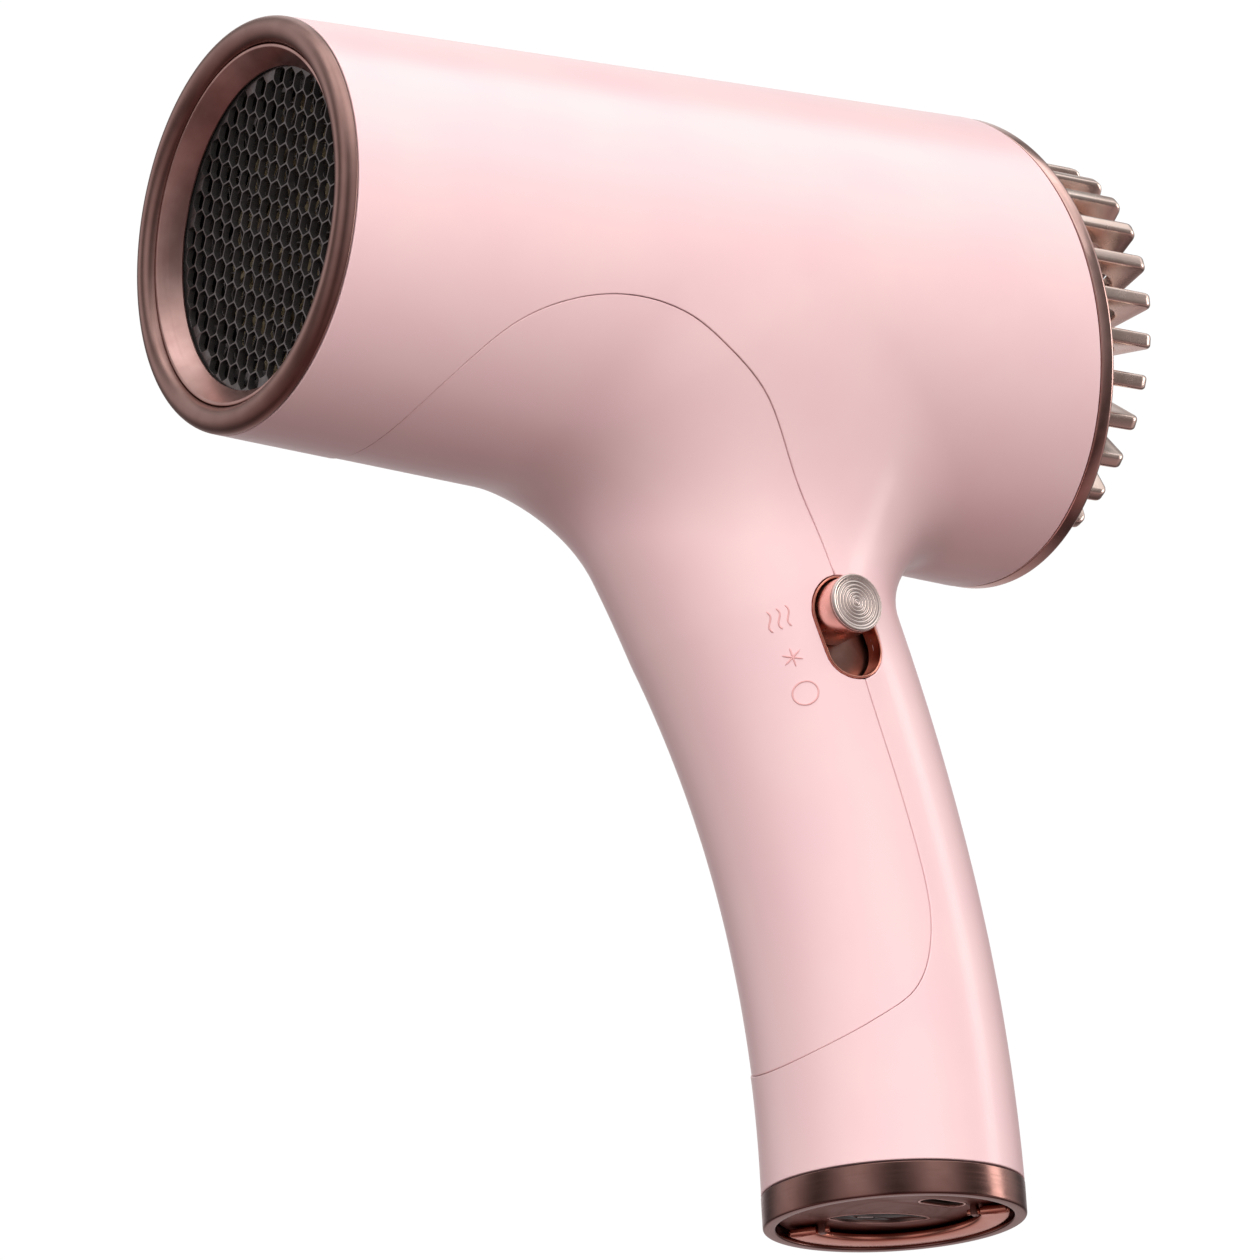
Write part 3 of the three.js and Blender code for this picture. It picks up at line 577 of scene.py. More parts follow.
def border(tris):
    """Directed edges that only one triangle uses."""
    sides = np.concatenate([tris[:, [0, 1]], tris[:, [1, 2]], tris[:, [2, 0]]])
    pairs = set(map(tuple, sides.tolist()))
    return [(a, b) for a, b in pairs if (b, a) not in pairs]


def moulded(name, verts, tris, material, inset=0.0, lip=0.3, **kw):
    """A shell with its real wall and softly rounded edges, from its outer skin."""
    n = unit(slope(skin, verts))
    verts = verts - n * inset
    edges = sorted(border(tris))
    after, before = dict(edges), {b: a for a, b in edges}
    rim = sorted(after)
    index = {v: k for k, v in enumerate(rim)}
    ids = np.array(rim)
    ahead = verts[[after[v] for v in rim]] - verts[ids]
    behind = verts[ids] - verts[[before.get(v, v) for v in rim]]
    out = unit(np.cross(unit(ahead) + unit(behind), n[ids]))
    rows, row_normals = [], []
    steps = 4
    for k in range(1, steps + 1):
        a = math.pi / 2 * k / steps
        rows.append(verts[ids] + out * lip * math.sin(a) - n[ids] * lip * (1 - math.cos(a)))
        row_normals.append(n[ids] * math.cos(a) + out * math.sin(a))
    rows.append(verts[ids] + out * lip - n[ids] * WALL)
    row_normals.append(out)
    total, width = len(verts), len(rim)
    inner = total + width * len(rows)
    points = np.concatenate([verts, *rows, verts - n * WALL])
    normals = np.concatenate([n, *row_normals, -n])
    faces = [tuple(t) for t in tris] + [tuple(inner + t[::-1]) for t in tris]
    for a, b in edges:
        ring_a = [a] + [total + width * k + index[a] for k in range(len(rows))] + [inner + a]
        ring_b = [b] + [total + width * k + index[b] for k in range(len(rows))] + [inner + b]
        for k in range(len(ring_a) - 1):
            faces.append((ring_b[k], ring_a[k], ring_a[k + 1], ring_b[k + 1]))
    return mesh_piece(name, points, faces, material, normals=normals, **kw)


# ---------------------------------------------------------------- cut lines of the mouldings
def seam_curve():
    """The side view of the cover's edge: a spline through its turning points, in X and Z."""
    knots = np.array([
        (-101, 124), (-96.5, 132), (-88, 141), (-78, 146), (-67, 148), (-56, 146.7), (-46.5, 142),
        (-37, 135), (-29, 123.5), (-21.5, 110.5), (-14.6, 88.8), (-8.2, 68.8), (-4.4, 53), (-4.7, 43),
        (-8, 35.5), (-15, 30.2), (-23.5, 25), (-34, 18),
    ], float)
    padded = np.concatenate([knots[:1], knots, knots[-1:]])
    points = []
    for a, b, c, d in zip(padded, padded[1:], padded[2:], padded[3:]):
        for t in np.arange(0, 1, 0.1):
            bow = (c - a) * t + (2 * a - 5 * b + 4 * c - d) * t**2 + (3 * b - a - 3 * c + d) * t**3
            points.append(b + bow / 2)
    return np.array(points + [knots[-1]])


SEAM = seam_curve()
COVER_OUTLINE = np.concatenate([SEAM, [(-130, 18), (-130, 112)]])


def seam_side(p):
    """Distance from the cover's edge in the side view, positive on the main shell's side."""
    flat = p[:, [0, 2]]
    nearest = np.full(len(flat), 1e9)
    for a, b in zip(SEAM, SEAM[1:]):
        way = b - a
        t = np.clip(((flat - a) @ way) / (way @ way), 0, 1)
        nearest = np.minimum(nearest, np.hypot(*(flat - a - t[:, None] * way).T))
    within = np.zeros(len(flat), bool)
    ring = np.roll(COVER_OUTLINE, -1, 0)
    for (x0, z0), (x1, z1) in zip(COVER_OUTLINE, ring):
        if z0 == z1:
            continue
        spans = (flat[:, 1] < z0) != (flat[:, 1] < z1)
        within ^= spans & (flat[:, 0] < x0 + (flat[:, 1] - z0) / (z1 - z0) * (x1 - x0))
    return np.where(within, -nearest, nearest)


SLOT_X, SLOT_Z, SLOT_LEAN = grip_at(SWITCH_ARC - SWITCH_TRAVEL / 2)
UP_GRIP = np.array([-math.sin(SLOT_LEAN), 0, math.cos(SLOT_LEAN)])
ACROSS_GRIP = np.array([math.cos(SLOT_LEAN), 0, math.sin(SLOT_LEAN)])
SLOT_MIDDLE = np.array([SLOT_X, 0, SLOT_Z])


def slot_side(p):
    """Distance outside the switch slot on the -Y flank; far from it on the other flank."""
    local = p - SLOT_MIDDLE
    up = np.maximum(np.abs(local @ UP_GRIP) - SWITCH_TRAVEL / 2, 0)
    distance = np.hypot(up, local @ ACROSS_GRIP) - SLOT_W / 2
    return np.where(p[:, 1] < 0, distance, 50.0)


def rear_side(p):
    """Distance in front of the raked rear edge."""
    return (REAR_X - p[:, 0]) * math.cos(RAKE) + (AXIS_Z - p[:, 2]) * math.sin(RAKE)


def build_shells():
    pitch = 1.7
    low = (OUTLET_X - 6, -BARREL_R_REAR - 6, -2)
    high = (REAR_X + 18, BARREL_R_REAR + 6, AXIS_Z + BARREL_R_REAR + 6)
    verts, quads = surface_net(skin, low, high, pitch)
    verts = onto(skin, verts)
    tris = halves(verts, quads)
    lip = 0.22
    liner_wall = 0.55
    cuts = (
        lambda p: p[:, 0] - (OUTLET_X + GAP + lip),
        lambda p: rear_side(p) - lip,
        lambda p: p[:, 2] - (FOOT_H + GAP + lip),
        lambda p: slot_side(p) - (liner_wall + lip),
    )
    for cut in cuts:
        verts, tris = trimmed(verts, tris, cut, pitch)
    seam_gap = 0.06
    main = trimmed(verts, tris, lambda p: seam_side(p) - (seam_gap / 2 + lip), pitch)
    cover = trimmed(verts, tris, lambda p: -seam_side(p) - (seam_gap / 2 + lip), pitch)
    pieces = (("main_housing", main, 0.0, "main_shell"), ("handle_front", cover, 0.18, "handle_cover"))
    for name, (v, t), inset, node in pieces:
        moulded(name, v, t, FINISH["pink"], inset, lip, slot="pink_shell", replaces=(node,))


build_shells()


# ---------------------------------------------------------------- outlet
MESH_X = MESH_LOW[0]
ON_AXIS = (0, 0, AXIS_Z)


def build_outlet():
    """A half-round bead, and a brushed cone inside it that ends in a thin bright lip."""
    bulge, bead_w = 2.7, 2.4
    bead_r = BARREL_R_FRONT - bead_w
    throat = 27.6
    turns = np.linspace(0, math.pi, 33)
    bead = [(OUTLET_X - bulge * math.sin(t), bead_r + bead_w * math.cos(t)) for t in turns]
    turned("outlet_bead", bead, FINISH["bead"], centre=ON_AXIS, segments=224, slot="bronze")
    cone_back = MESH_X - GAP
    cone = filleted(
        [(OUTLET_X - 0.9, 30.55), (cone_back, throat), (cone_back, throat + 3.4), (-112, throat + 3.7),
         (-112, 33.7), (OUTLET_X + 0.1, 33.7), (OUTLET_X + 0.1, 31.1), (OUTLET_X - 0.9, 31.1)],
        [0.25, 0.3, 0.1, 0.2, 0.2, 0.1, 0.1, 0.2], 5)
    turned("outlet_funnel", cone, FINISH["cone"], centre=ON_AXIS, segments=224, slot="bronze",
           replaces=("outlet_ring",))


def rounded_hexagon(x, y, reach, corner):
    return filleted([(x + u, y + v) for u, v in circle(reach, 6)], corner, 3)


def hex_holes(radius, pitch, web, corner=0.9):
    """Hexagonal holes inside a circle, columns of flats facing up."""
    holes = []
    reach = (pitch - web) / math.sqrt(3)
    rows = int(radius / pitch * 1.3) + 2
    for i in range(-rows, rows + 1):
        for j in range(-rows, rows + 1):
            x = pitch * math.sqrt(3) / 2 * i
            y = pitch * (j + (i % 2) / 2)
            if math.hypot(x, y) < radius - 0.3 * pitch:
                hexagon = rounded_hexagon(x, y, reach, corner)
                holes.append([p * min(1, radius / np.linalg.norm(p)) for p in hexagon])
    return holes


def facing_x(x_mm, turn=0.0):
    """Stands a plate drawn in XY up across the barrel at a place along it."""
    stand = Matrix(((0, 0, 1, 0), (1, 0, 0, 0), (0, 1, 0, 0), (0, 0, 0, 1)))
    return Matrix.Translation((x_mm * MM, 0, AXIS_Z * MM)) @ stand @ Matrix.Rotation(turn, 4, "Z")


def build_guards():
    pitch = 3.7
    outer = MESH_HIGH[1]
    front = [circle(outer, 128)] + hex_holes(outer - 3.0, pitch, 0.3, 0.6)
    flat_shape("outlet_honeycomb", front, 0, 1.2, FINISH["wire"], 0.06, facing_x(MESH_X),
               slot="black_mesh", replaces=("outlet_mesh",))
    behind_r = 27.2
    behind = [circle(behind_r, 128)] + hex_holes(behind_r - 0.4, pitch, 0.3, 0.6)
    flat_shape("heater_honeycomb", behind, 0, 1.0, FINISH["wire"], 0.06, facing_x(MESH_X + 3.2, 0.35),
               slot="black_mesh")
    fine = [circle(FILTER_HIGH[1], 128)] + hex_holes(FILTER_HIGH[1] - 1.5, 3.0, 0.7, 0.5)
    flat_shape("intake_filter", fine, 0, 0.8, FINISH["dark"], 0.1, facing_x(FILTER_LOW[0]),
               slot="filter_steel", replaces=("inlet_filter",))


build_outlet()
build_guards()


# ---------------------------------------------------------------- rear cage
RIBS = 30
RIB_R = 36.5
RIB_T = 2.7


def raked_ring(name, profile, radius_at, material, **kw):
    """A ring of rows parallel to the raked rear edge; profile is (distance behind it, depth).

    radius_at turns a depth into a cone: its radius at the outlet and how fast it grows along X.
    """
    segments = 224
    c, s = math.cos(RAKE), math.sin(RAKE)
    verts = []
    for behind, depth in profile:
        for j in range(segments):
            a = 2 * math.pi * j / segments
            base, grow = radius_at(depth)
            tilt = s * math.sin(a)
            x = (REAR_X * c + behind - (base - grow * OUTLET_X) * tilt) / (c + grow * tilt)
            r = base + grow * (x - OUTLET_X)
            verts.append((x, r * math.cos(a), AXIS_Z + r * math.sin(a)))
    area = sum(a[0] * b[1] - b[0] * a[1] for a, b in zip(profile, profile[1:] + profile[:1]))
    faces = ring_faces(len(profile), segments, True)
    on_cone = radius_at(1.0)[0] < radius_at(0.0)[0]
    if (area > 0) != on_cone:
        faces = [f[::-1] for f in faces]
    return mesh_piece(name, verts, faces, material, **kw)


def build_trim_ring():
    profile = filleted([(GAP, 0.1), (3.2, 0.1), (3.2, 5.0), (GAP, 5.0)], [0.25, 0.9, 0.5, 0.1], 6)
    raked_ring("rear_trim", profile, lambda inset: (BARREL_R_FRONT - inset, TAPER), FINISH["trim"],
               slot="rose_gold", replaces=("rear_trim_ring",))


def rib_outline():
    """One rib in the plane of the axis: a bar out from the ring that turns in to the hub."""
    hub_r = 13.4
    bar = 4.6
    end = 3.6
    return filleted(
        [(19, RIB_R), (CAGE_X, RIB_R), (CAGE_X, hub_r), (CAGE_X - end, hub_r), (CAGE_X - end, RIB_R - bar),
         (19, RIB_R - bar)],
        [0, 2.0, 0.3, 0.3, 4.5, 0], 7)


def build_cage():
    """The ribs with softened edges, their base ring and the hub, as one moulding's three pieces."""
    c, s = math.cos(RAKE), math.sin(RAKE)
    outline = rib_outline()
    count = len(outline)
    soft = 0.75
    verts, faces = [], []
    steps = 4
    half = RIB_T / 2
    turns = [math.pi / 2 * k / steps for k in range(steps + 1)]
    layers = [(-half + soft * (1 - math.cos(a)), soft * (1 - math.sin(a))) for a in turns]
    layers += [(-t, inset) for t, inset in reversed(layers)]
    inward = inset_directions(outline)
    for rib in range(RIBS):
        a = 2 * math.pi * rib / RIBS
        radial = np.array([0, math.cos(a), math.sin(a)])
        sideways = np.array([0, -math.sin(a), math.cos(a)])
        start = len(verts)
        base_x = REAR_X + 1.4 / c - (RIB_R * math.sin(a)) * s / c
        for t, inset in layers:
            for (x, r), (dx, dr) in zip(outline, inward):
                px, pr = x + dx * inset, r + dr * inset
                px = max(px, base_x) if px < 25 else px
                verts.append(np.array([px, 0, AXIS_Z]) + radial * pr + sideways * t)
        rows = len(layers)
        for i in range(rows - 1):
            for j in range(count):
                k = (j + 1) % count
                faces.append((start + i * count + j, start + i * count + k,
                              start + (i + 1) * count + k, start + (i + 1) * count + j))
        faces.append([start + j for j in reversed(range(count))])
        faces.append([start + (rows - 1) * count + j for j in range(count)])
    obj = mesh_piece("intake_ribs", verts, faces, FINISH["gold"], slot="rose_gold",
                     replaces=("rear_grille",))
    weld(obj.data)
    obj.data.set_sharp_from_angle(angle=math.radians(55))
    ring = filleted([(0.9, 36.4), (3.7, 36.4), (3.7, 30.9), (0.9, 30.9)], [0.2, 1.2, 1.2, 0.2], 6)
    raked_ring("intake_base_ring", ring, lambda r: (r, 0.0), FINISH["gold"], slot="rose_gold")
    back, dish = CAGE_X - 3.4, CAGE_X - 0.5
    hub = [(back, 0), (back, 14.6), (CAGE_X, 14.6), (dish, 8.0), (dish, 0)]
    hub = filleted(hub, [0, 0.8, 1.0, 1.5, 0], 5)
    turned("intake_hub", hub, FINISH["gold"], centre=ON_AXIS, segments=128, slot="rose_gold")


def inset_directions(outline):
    """Unit steps into an outline from each of its points."""
    pts = np.array(outline)
    ahead = np.roll(pts, -1, 0) - pts
    behind = pts - np.roll(pts, 1, 0)
    way = unit(unit(ahead) + unit(behind))
    turn = np.stack([-way[:, 1], way[:, 0]], 1)
    area = (pts[:, 0] * np.roll(pts[:, 1], -1) - np.roll(pts[:, 0], -1) * pts[:, 1]).sum()
    return turn if area > 0 else -turn


build_trim_ring()
build_cage()


# ---------------------------------------------------------------- switch
def stadium(length, width, count=14):
    """An outline with half-round ends."""
    r, h = width / 2, (length - width) / 2
    outline = []
    for side, start in ((1, -math.pi / 2), (-1, math.pi / 2)):
        turns = [start + math.pi * k / count for k in range(count + 1)]
        outline += [(side * h + r * math.cos(a), r * math.sin(a)) for a in turns]
    return outline


def slot_outline(grow):
    """The switch slot's outline in (up the grip, across it), grown by grow."""
    width = SLOT_W + 2 * grow
    return stadium(SWITCH_TRAVEL + width, width, 20)


def skin_y(x, z):
    """Y of the skin on the -Y flank at a side-view place."""
    y = np.full(len(x), -24.0)
    for _ in range(8):
        here = np.stack([x, y, z], 1)
        ahead = here + np.array([0, 0.02, 0])
        value = skin(here)
        y = y - value / ((skin(ahead) - value) / 0.02)
    return y


def build_liner():
    """The copper-plated frame of the slot, its lip flush with the curved skin."""
    floor_y = LINER_FLOOR_Y
    wall, lip = 0.38, 0.18
    rows = [(wall, 0.5, False)]
    turns = np.linspace(0, math.pi / 2, 5)
    rows += [(wall - lip * (1 - math.cos(a)), lip * (1 - math.sin(a)), False) for a in turns]
    rows += [(lip * (1 - math.sin(a)), lip * (1 - math.cos(a)), False) for a in turns]
    rows += [(0.0, 0.0, True), (wall, 0.0, True)]
    verts = []
    for grow, down, at_floor in rows:
        outline = np.array(slot_outline(grow))
        spots = SLOT_MIDDLE + outline[:, :1] * UP_GRIP + outline[:, 1:] * ACROSS_GRIP
        spots[:, 1] = floor_y if at_floor else skin_y(spots[:, 0], spots[:, 2]) + down + 0.02
        verts.append(spots)
    count = len(verts[0])
    faces = ring_faces(len(rows), count, True)
    obj = mesh_piece("slot_frame", np.concatenate(verts), faces, FINISH["copper"], slot="copper",
                     replaces=("switch_liner",))
    weld(obj.data)
    obj.data.set_sharp_from_angle(angle=math.radians(50))


BUTTON_X, BUTTON_Z, _ = grip_at(SWITCH_ARC)
BUTTON_CENTRE = (BUTTON_X, 0, BUTTON_Z)
BUTTON_R = 5.2


def build_button():
    """A turned button: a shallow dish of fine grooves inside a bright chamfer."""
    face_y = BUTTON_FACE_Y
    foot_y = -18.4
    grooves = 7
    rim = BUTTON_R - 0.55
    face = [(face_y + 0.22, 0.0)]
    for k in range(grooves):
        r0 = rim * k / grooves
        r1 = rim * (k + 1) / grooves
        if k:
            face.append((face_y + 0.3, r0))
        face.append((face_y + 0.1, r0 + 0.3 * (r1 - r0)))
        face.append((face_y + 0.1, r0 + 0.7 * (r1 - r0)))
    edge = [(0.1, rim), (0.0, rim + 0.12), (0.0, BUTTON_R - 0.25), (0.08, BUTTON_R - 0.08),
            (0.25, BUTTON_R), (0.6, BUTTON_R), (0.7, BUTTON_R - 0.15), (0.7, 0.0)]
    cap = face + [(face_y + down, r) for down, r in edge]
    turned("button_cap", cap, FINISH["spun"], "Y", BUTTON_CENTRE, 128, body="switch_slider",
           slot="button_steel", replaces=("slide_button",))
    top_y, skirt_r, stem_r, end_y = face_y + 0.8, BUTTON_R - 0.02, 1.2, -15.2
    side = [(top_y, 0), (top_y, skirt_r), (foot_y, skirt_r), (foot_y, stem_r), (end_y, stem_r), (end_y, 0)]
    side = filleted(side, [0, 0.15, 0.5, 0.2, 0.3, 0], 4)
    turned("button_skirt", side, FINISH["rose"], "Y", BUTTON_CENTRE, 128, body="switch_slider",
           slot="copper", replaces=("slide_button",))


def build_shutter():
    """The plate that slides with the button and closes the slot, with a raised grip line."""
    half_l, half_w = 13.0, 6.3
    corners = [(-half_l, -half_w), (half_l, -half_w), (half_l, half_w), (-half_l, half_w)]
    outline = filleted(corners, 1.2, 5)
    _, _, lean = grip_at(SWITCH_ARC)
    place = Matrix.Translation((BUTTON_X * MM, SHUTTER_TOP_Y * MM, BUTTON_Z * MM))
    place = place @ Matrix.Rotation(math.pi / 2 - lean, 4, "Y") @ Matrix.Rotation(math.pi / 2, 4, "X")
    outlines = [outline, circle(1.45, 32)]
    obj = flat_shape("slot_shutter", outlines, 0, 0.8, FINISH["floor_plate"], 0.12, place,
                     body="switch_slider", slot="dark_steel", replaces=("slide_shutter",))
    recentre(obj, (BUTTON_X, 0, BUTTON_Z))


def on_skin(middle, u, v):
    """A point of the skin at (u across, v up) from a place on the -Y flank, with its normal."""
    spot = np.array([middle + u * ACROSS_GRIP + v * UP_GRIP])
    spot[:, 1] = skin_y(spot[:, 0], spot[:, 2])
    return spot[0], unit(slope(skin, spot))[0]


def raised_line(strokes, middle, width, height, closed=False):
    """Low rounded ridges on the skin along strokes of (u, v) points."""
    verts, faces = [], []
    sides = 8
    for stroke in strokes:
        points = [on_skin(middle, u, v) for u, v in stroke]
        start = len(verts)
        count = len(points)
        for i, (p, n) in enumerate(points):
            ahead = points[(i + 1) % count][0] if closed else points[min(i + 1, count - 1)][0]
            behind = points[i - 1][0] if closed or i else p
            way = ahead - behind
            side = np.cross(way / np.linalg.norm(way), n)
            end = 0.35 if not closed and i in (0, count - 1) else 1.0
            for k in range(sides):
                a = 2 * math.pi * k / sides
                across = side * math.cos(a) * width / 2
                verts.append(p - n * 0.22 + (across + n * math.sin(a) * height) * end)
        rows = ring_faces(count, sides, closed)
        faces += [tuple(start + i for i in f) for f in rows]
        if not closed:
            faces.append(tuple(start + k for k in reversed(range(sides))))
            faces.append(tuple(start + (count - 1) * sides + k for k in range(sides)))
    return verts, faces


def build_marks():
    """Three plain setting marks beside the switch: heat waves, a frost star and a ring."""
    wave = np.linspace(-1, 1, 17)
    heat = [[(0.35 * math.sin(t * math.pi) + shift, 1.9 * t) for t in wave] for shift in (-1.5, 0, 1.5)]
    star = []
    for k in range(3):
        a = math.pi / 3 * k + math.pi / 6
        star.append([(1.7 * t * math.cos(a), 1.7 * t * math.sin(a)) for t in np.linspace(-1, 1, 9)])
    ring = [circle(2.0, 40)]
    beside = SLOT_MIDDLE - ACROSS_GRIP * 11.6
    marks = (("heat_mark", heat, 5.3), ("frost_mark", star, -1.7), ("ring_mark", ring, -8.2))
    for name, strokes, up in marks:
        verts, faces = raised_line(strokes, beside + UP_GRIP * up, 0.34, 0.24, strokes is ring)
        obj = mesh_piece(name, verts, faces, FINISH["mark"], slot="pink_shell")
        weld(obj.data)


build_liner()
build_button()
build_shutter()
build_marks()


# ---------------------------------------------------------------- foot
HINGE_ANGLE = math.radians(-50)
HINGE_DIR = np.array([math.cos(HINGE_ANGLE), math.sin(HINGE_ANGLE)])
HINGE_NORMAL = np.array([-HINGE_DIR[1], HINGE_DIR[0]])
HINGE_OFFSET = 2.4
PLATE_Z = 2.0
LOOP_Z = 0.95
LOOP_R = 19.9


def from_hinge(t, n):
    """A point of the foot at distance t along the hinge line and n beyond it."""
    return t * HINGE_DIR + (HINGE_OFFSET + n) * HINGE_NORMAL


def placed(outline, x, y, turn):
    c, s = math.cos(turn), math.sin(turn)
    return [(x + u * c - v * s, y + u * s + v * c) for u, v in outline]


def lens(length, width, sharp=1.5, count=72):
    """A lens outline with softly pointed ends."""
    outline = []
    for k in range(count):
        a = 2 * math.pi * k / count
        c, s = math.cos(a), math.sin(a)
        outline.append((length / 2 * math.copysign(abs(c) ** (2 / 2.1), c),
                        width / 2 * math.copysign(abs(s) ** sharp, s)))
    return outline


def build_foot():
    """The bronze band, the recessed plate and what is set into it."""
    band = [(0.0, 20.6), (0.0, FOOT_R), (FOOT_H, FOOT_R), (FOOT_H, 19.7), (10.0, 19.7), (10.0, 18.6),
            (3.8, 18.6), (3.8, 20.6)]
    band = filleted(band, [0.3, 0.45, 0.2, 0.2, 0.2, 0.2, 0.2, 0.2], 5)
    turned("foot_band", band, FINISH["band"], "Z", (0, 0, 0), 224, slot="bronze", replaces=("base_band",))
    window = (0.2, 4.9, math.radians(-19))
    led = (-2.2, 5.6, window[2])
    socket = (3.9, -8.7, math.radians(8))
    hole = placed(lens(18.7, 8.2), *window)
    mouth = placed(stadium(10.0, 4.3), *socket)
    top = PLATE_Z + 1.1
    parts = [
        ("foot_plate", [circle(20.3, 160), hole, mouth], PLATE_Z, PLATE_Z + 1.4, "plate", 0.15,
         "bronze_plate", "base_plate"),
        ("window_bezel", [hole, placed(lens(17.7, 7.2), *window)], PLATE_Z - 0.05, top, "trim", 0.1,
         "rose_gold", None),
        ("window_pane", [placed(lens(17.6, 7.1), *window), placed(stadium(3.2, 1.1), *led)],
         PLATE_Z + 0.12, PLATE_Z + 1.2, "gloss", 0.12, "window_gloss", "display_window"),
        ("light_bar", [placed(stadium(3.0, 0.9), *led)], PLATE_Z + 0.1, PLATE_Z + 1.3, "lamp", 0.1,
         "led", "status_led"),
        ("socket_bezel", [mouth, placed(stadium(9.0, 3.3), *socket)], PLATE_Z - 0.02, top, "trim", 0.1,
         "rose_gold", None),
        # the socket shell takes the dark steel finish in place of bright steel: its darkness is painted
        # shade of the recessed socket
        ("socket_shell", [placed(stadium(8.94, 3.24), *socket), placed(stadium(8.3, 2.6), *socket)],
         SOCKET_LOW[2], SOCKET_HIGH[2], "dark", 0.1, "steel", "usb_socket"),
        ("socket_tongue", [placed(stadium(6.6, 0.7, 6), *socket)], 4.2, 9.4, "black", 0.1,
         "black_plastic", None),
        ("socket_back", [placed(stadium(8.2, 2.5), *socket)], 9.0, 10.0, "black", 0.1,
         "black_plastic", None),
    ]
    lug = filleted([(-0.6, -1), (0.6, -1), (0.6, 1), (-0.6, 1)], 0.25, 4)
    for letter, side in (("a", -13.6), ("b", 13.6)):
        outline = placed(lug, *from_hinge(side, 0), HINGE_ANGLE)
        parts.append(("hinge_lug_" + letter, [outline], 0.3, PLATE_Z + 0.1, "plate", 0.12,
                      "bronze_plate", None))
    for name, outlines, z0, z1, finish, bevel, slot, node in parts:
        flat_shape(name, outlines, z0, z1, FINISH[finish], bevel, slot=slot,
                   replaces=(node,) if node else ())


def build_loop():
    """The hanging loop: a crescent with a rounded section, knuckled at the hinge."""
    steps = 64
    sides = 16
    verts = []
    reach = math.acos(HINGE_OFFSET / LOOP_R)
    inner_r, inner_back = 15.0, 0.8
    start_angle = HINGE_ANGLE + math.pi / 2
    for i in range(steps + 1):
        w = -1 + 2 * i / steps
        a = start_angle + w * reach
        ray = np.array([math.cos(a), math.sin(a)])
        outer = LOOP_R * ray
        centre = -inner_back * HINGE_NORMAL
        b = ray @ centre
        inner = ray * (b + math.sqrt(max(inner_r**2 - centre @ centre + b * b, 0)))
        middle, half = (outer + inner) / 2, np.linalg.norm(outer - inner) / 2
        for k in range(sides):
            t = 2 * math.pi * k / sides
            c, s = math.cos(t), math.sin(t)
            u = math.copysign(abs(c) ** 0.45, c) * half
            h = math.copysign(abs(s) ** 0.6, s) * 0.75
            verts.append((*(middle + ray * u), LOOP_Z + h))
    faces = ring_faces(steps + 1, sides, False)
    faces.append(tuple(reversed(range(sides))))
    faces.append(tuple(steps * sides + k for k in range(sides)))
    crescent = mesh_piece("loop_crescent", verts, faces, FINISH["copper"], body="loop", slot="copper",
                          replaces=("hanging_loop",))
    weld(crescent.data)
    for side in (-1, 1):
        along = HINGE_ANGLE
        knuckle = filleted([(14.6, 0), (14.6, 0.75), (19.3, 0.75), (19.3, 0)], [0, 0.2, 0.2, 0], 4)
        stub = [(12.3, 0), (12.3, 0.5), (14.6, 0.5), (14.6, 0)]
        for part, profile in (("knuckle", knuckle), ("stub", stub)):
            if side < 0:
                profile = [(-a, r) for a, r in profile]
            name = "loop_%s_%s" % (part, "a" if side < 0 else "b")
            obj = turned(name, profile, FINISH["copper"], "X", (0, 0, 0), 40, body="loop", slot="copper")
            obj.data.transform(Matrix.Rotation(along, 4, "Z"))
            obj.data.transform(Matrix.Translation((*(from_hinge(0, 0) * MM), LOOP_Z * MM)))


build_foot()
build_loop()


# ---------------------------------------------------------------- CAD nodes that keep their shape
CARRIED = {
    "air_duct": "black", "heater_sleeve": "mica", "mica_board_a": "mica", "mica_board_b": "mica",
    "heating_coil": "nichrome", "thermostat": "dark", "thermal_fuse": "ceramic", "stator": "black",
    "motor": "steel", "motor_sleeve": "rubber", "motor_bushing": "dark", "motor_screw_1": "steel",
    "motor_screw_2": "steel", "fan_rotor": "black", "slide_switch": "black", "control_board": "board",
    "battery_cell_1": "wrap", "battery_cell_2": "wrap", "battery_holder": "black", "cell_link": "steel",
    "charging_board": "board", "heater_lead": "white_wire", "motor_lead": "red_wire",
    "battery_lead_1": "red_wire", "battery_lead_2": "black_wire",
}


def finish_carried_nodes():
    for node, finish in CARRIED.items():
        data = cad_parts[node].data
        data.materials.clear()
        data.materials.append(FINISH[finish])


finish_carried_nodes()


# ---------------------------------------------------------------- studio
PANELS = 5.0
PANEL_TURN = 1.2
PANEL_DEPTH = 0.42
WORLD_STRENGTH = 1.15


def area_light(name, place, target, size, power, colour=(1, 1, 1), glossy=True):
    data = bpy.data.lights.new(name, "AREA")
    data.shape = "RECTANGLE"
    data.size, data.size_y = size
    data.energy = power
    data.color = colour
    lamp = bpy.data.objects.new(name, data)
    lamp.location = place
    lamp.visible_glossy = glossy
    way = Vector(target) - Vector(place)
    lamp.rotation_euler = way.to_track_quat("-Z", "Y").to_euler()
    bpy.context.scene.collection.objects.link(lamp)


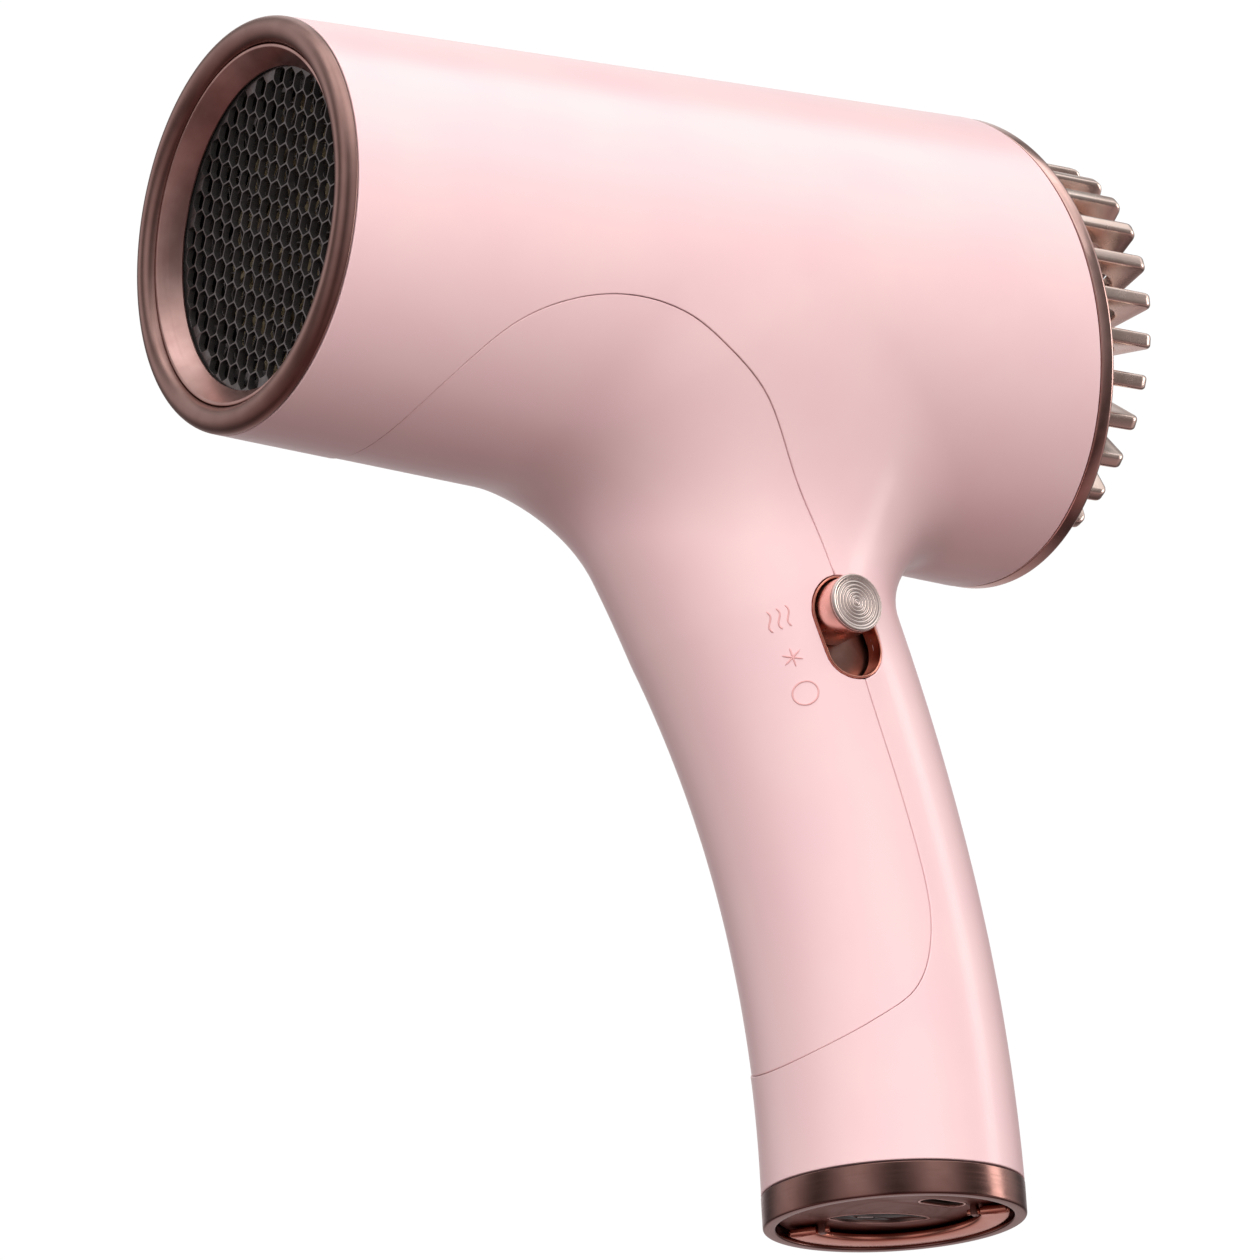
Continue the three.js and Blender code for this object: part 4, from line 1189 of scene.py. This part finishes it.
def build_world():
    """A white studio: bright above, dim below, darker panels between the lights, and clean white behind."""
    world = bpy.data.worlds.new("studio_world")
    world.use_nodes = True
    tree = world.node_tree
    light = tree.nodes["Background"]

    number = functools.partial(arithmetic, tree)
    split = tree.nodes.new("ShaderNodeSeparateXYZ")
    tree.links.new(tree.nodes.new("ShaderNodeTexCoord").outputs["Generated"], split.inputs[0])
    x, y, z = split.outputs
    ramp = tree.nodes.new("ShaderNodeValToRGB")
    elements = ramp.color_ramp.elements
    elements[0].color = (0.18, 0.085, 0.08, 1)
    elements[1].color = (1.0, 1.0, 1.0, 1)
    middle = elements.new(0.42)
    middle.color = (0.48, 0.41, 0.41, 1)
    tree.links.new(number("MULTIPLY_ADD", z, 0.5, 0.5), ramp.inputs[0])
    panels = number("COSINE", number("MULTIPLY_ADD", number("ARCTAN2", y, x), PANELS, PANEL_TURN))
    level = number("MULTIPLY_ADD", panels, PANEL_DEPTH, 1.0 - PANEL_DEPTH)
    tree.links.new(ramp.outputs[0], light.inputs["Color"])
    tree.links.new(number("MULTIPLY", level, WORLD_STRENGTH), light.inputs["Strength"])
    behind = tree.nodes.new("ShaderNodeBackground")
    behind.inputs["Color"].default_value = (1, 1, 1, 1)
    behind.inputs["Strength"].default_value = 1.02
    mix = tree.nodes.new("ShaderNodeMixShader")
    tree.links.new(tree.nodes.new("ShaderNodeLightPath").outputs["Is Camera Ray"], mix.inputs[0])
    tree.links.new(light.outputs[0], mix.inputs[1])
    tree.links.new(behind.outputs[0], mix.inputs[2])
    tree.links.new(mix.outputs[0], tree.nodes["World Output"].inputs[0])
    bpy.context.scene.world = world


def build_studio():
    floor_z = -1.25
    bpy.ops.mesh.primitive_grid_add(x_subdivisions=8, y_subdivisions=8, size=60, location=(0, 0, floor_z))
    floor = bpy.context.object
    floor.name = "studio_floor"
    paper = Finish("studio_paper", (246, 245, 245), 0.8, Emission_Color=(1, 1, 1, 1),
                   Emission_Strength=0.45)
    paper.mottle(6.0, 0.02).uneven(20.0, 0.05).grain(400.0, 0.1, 0.3)
    floor.data.materials.append(paper.material)
    floor.visible_diffuse = False
    floor.visible_glossy = False
    build_world()
    target = (-0.03, 0, 0.11)
    area_light("overhead", (-0.05, -0.5, 1.1), target, (1.6, 1.2), 5)
    area_light("front_fill", (-0.45, -1.25, 0.25), target, (1.2, 1.2), 11, glossy=False)
    area_light("side_strip", (-0.95, -0.75, 0.1), target, (0.16, 0.9), 4, glossy=False)
    area_light("back_fill", (-0.2, 1.3, 0.4), target, (1.2, 1.2), 4, glossy=False)
    area_light("rear_kicker", (1.1, -0.5, 0.25), target, (0.3, 0.8), 2.5, (1.0, 0.94, 0.9))


def build_camera():
    """The three-quarter view from low in front of the outlet."""
    azimuth, elevation, roll = (math.radians(a) for a in (-34.01, -17.66, -3.29))
    back = Vector((math.sin(azimuth) * math.cos(elevation), -math.cos(azimuth) * math.cos(elevation),
                   math.sin(elevation)))
    right = (-back).cross(Vector((0, 0, 1))).normalized()
    up = right.cross(-back)
    c, s = math.cos(roll), math.sin(roll)
    right, up = c * right + s * up, c * up - s * right
    data = bpy.data.cameras.new("camera")
    data.sensor_width = 36
    data.lens = 192.21
    data.clip_start = 0.05
    camera = bpy.data.objects.new("camera", data)
    turn = Matrix((right, up, back)).transposed().to_4x4()
    camera.matrix_world = Matrix.Translation((-0.66713, -0.91779, -0.25134)) @ turn
    bpy.context.scene.collection.objects.link(camera)
    bpy.context.scene.camera = camera


build_studio()
build_camera()
bpy.context.scene.view_settings.view_transform = "Standard"
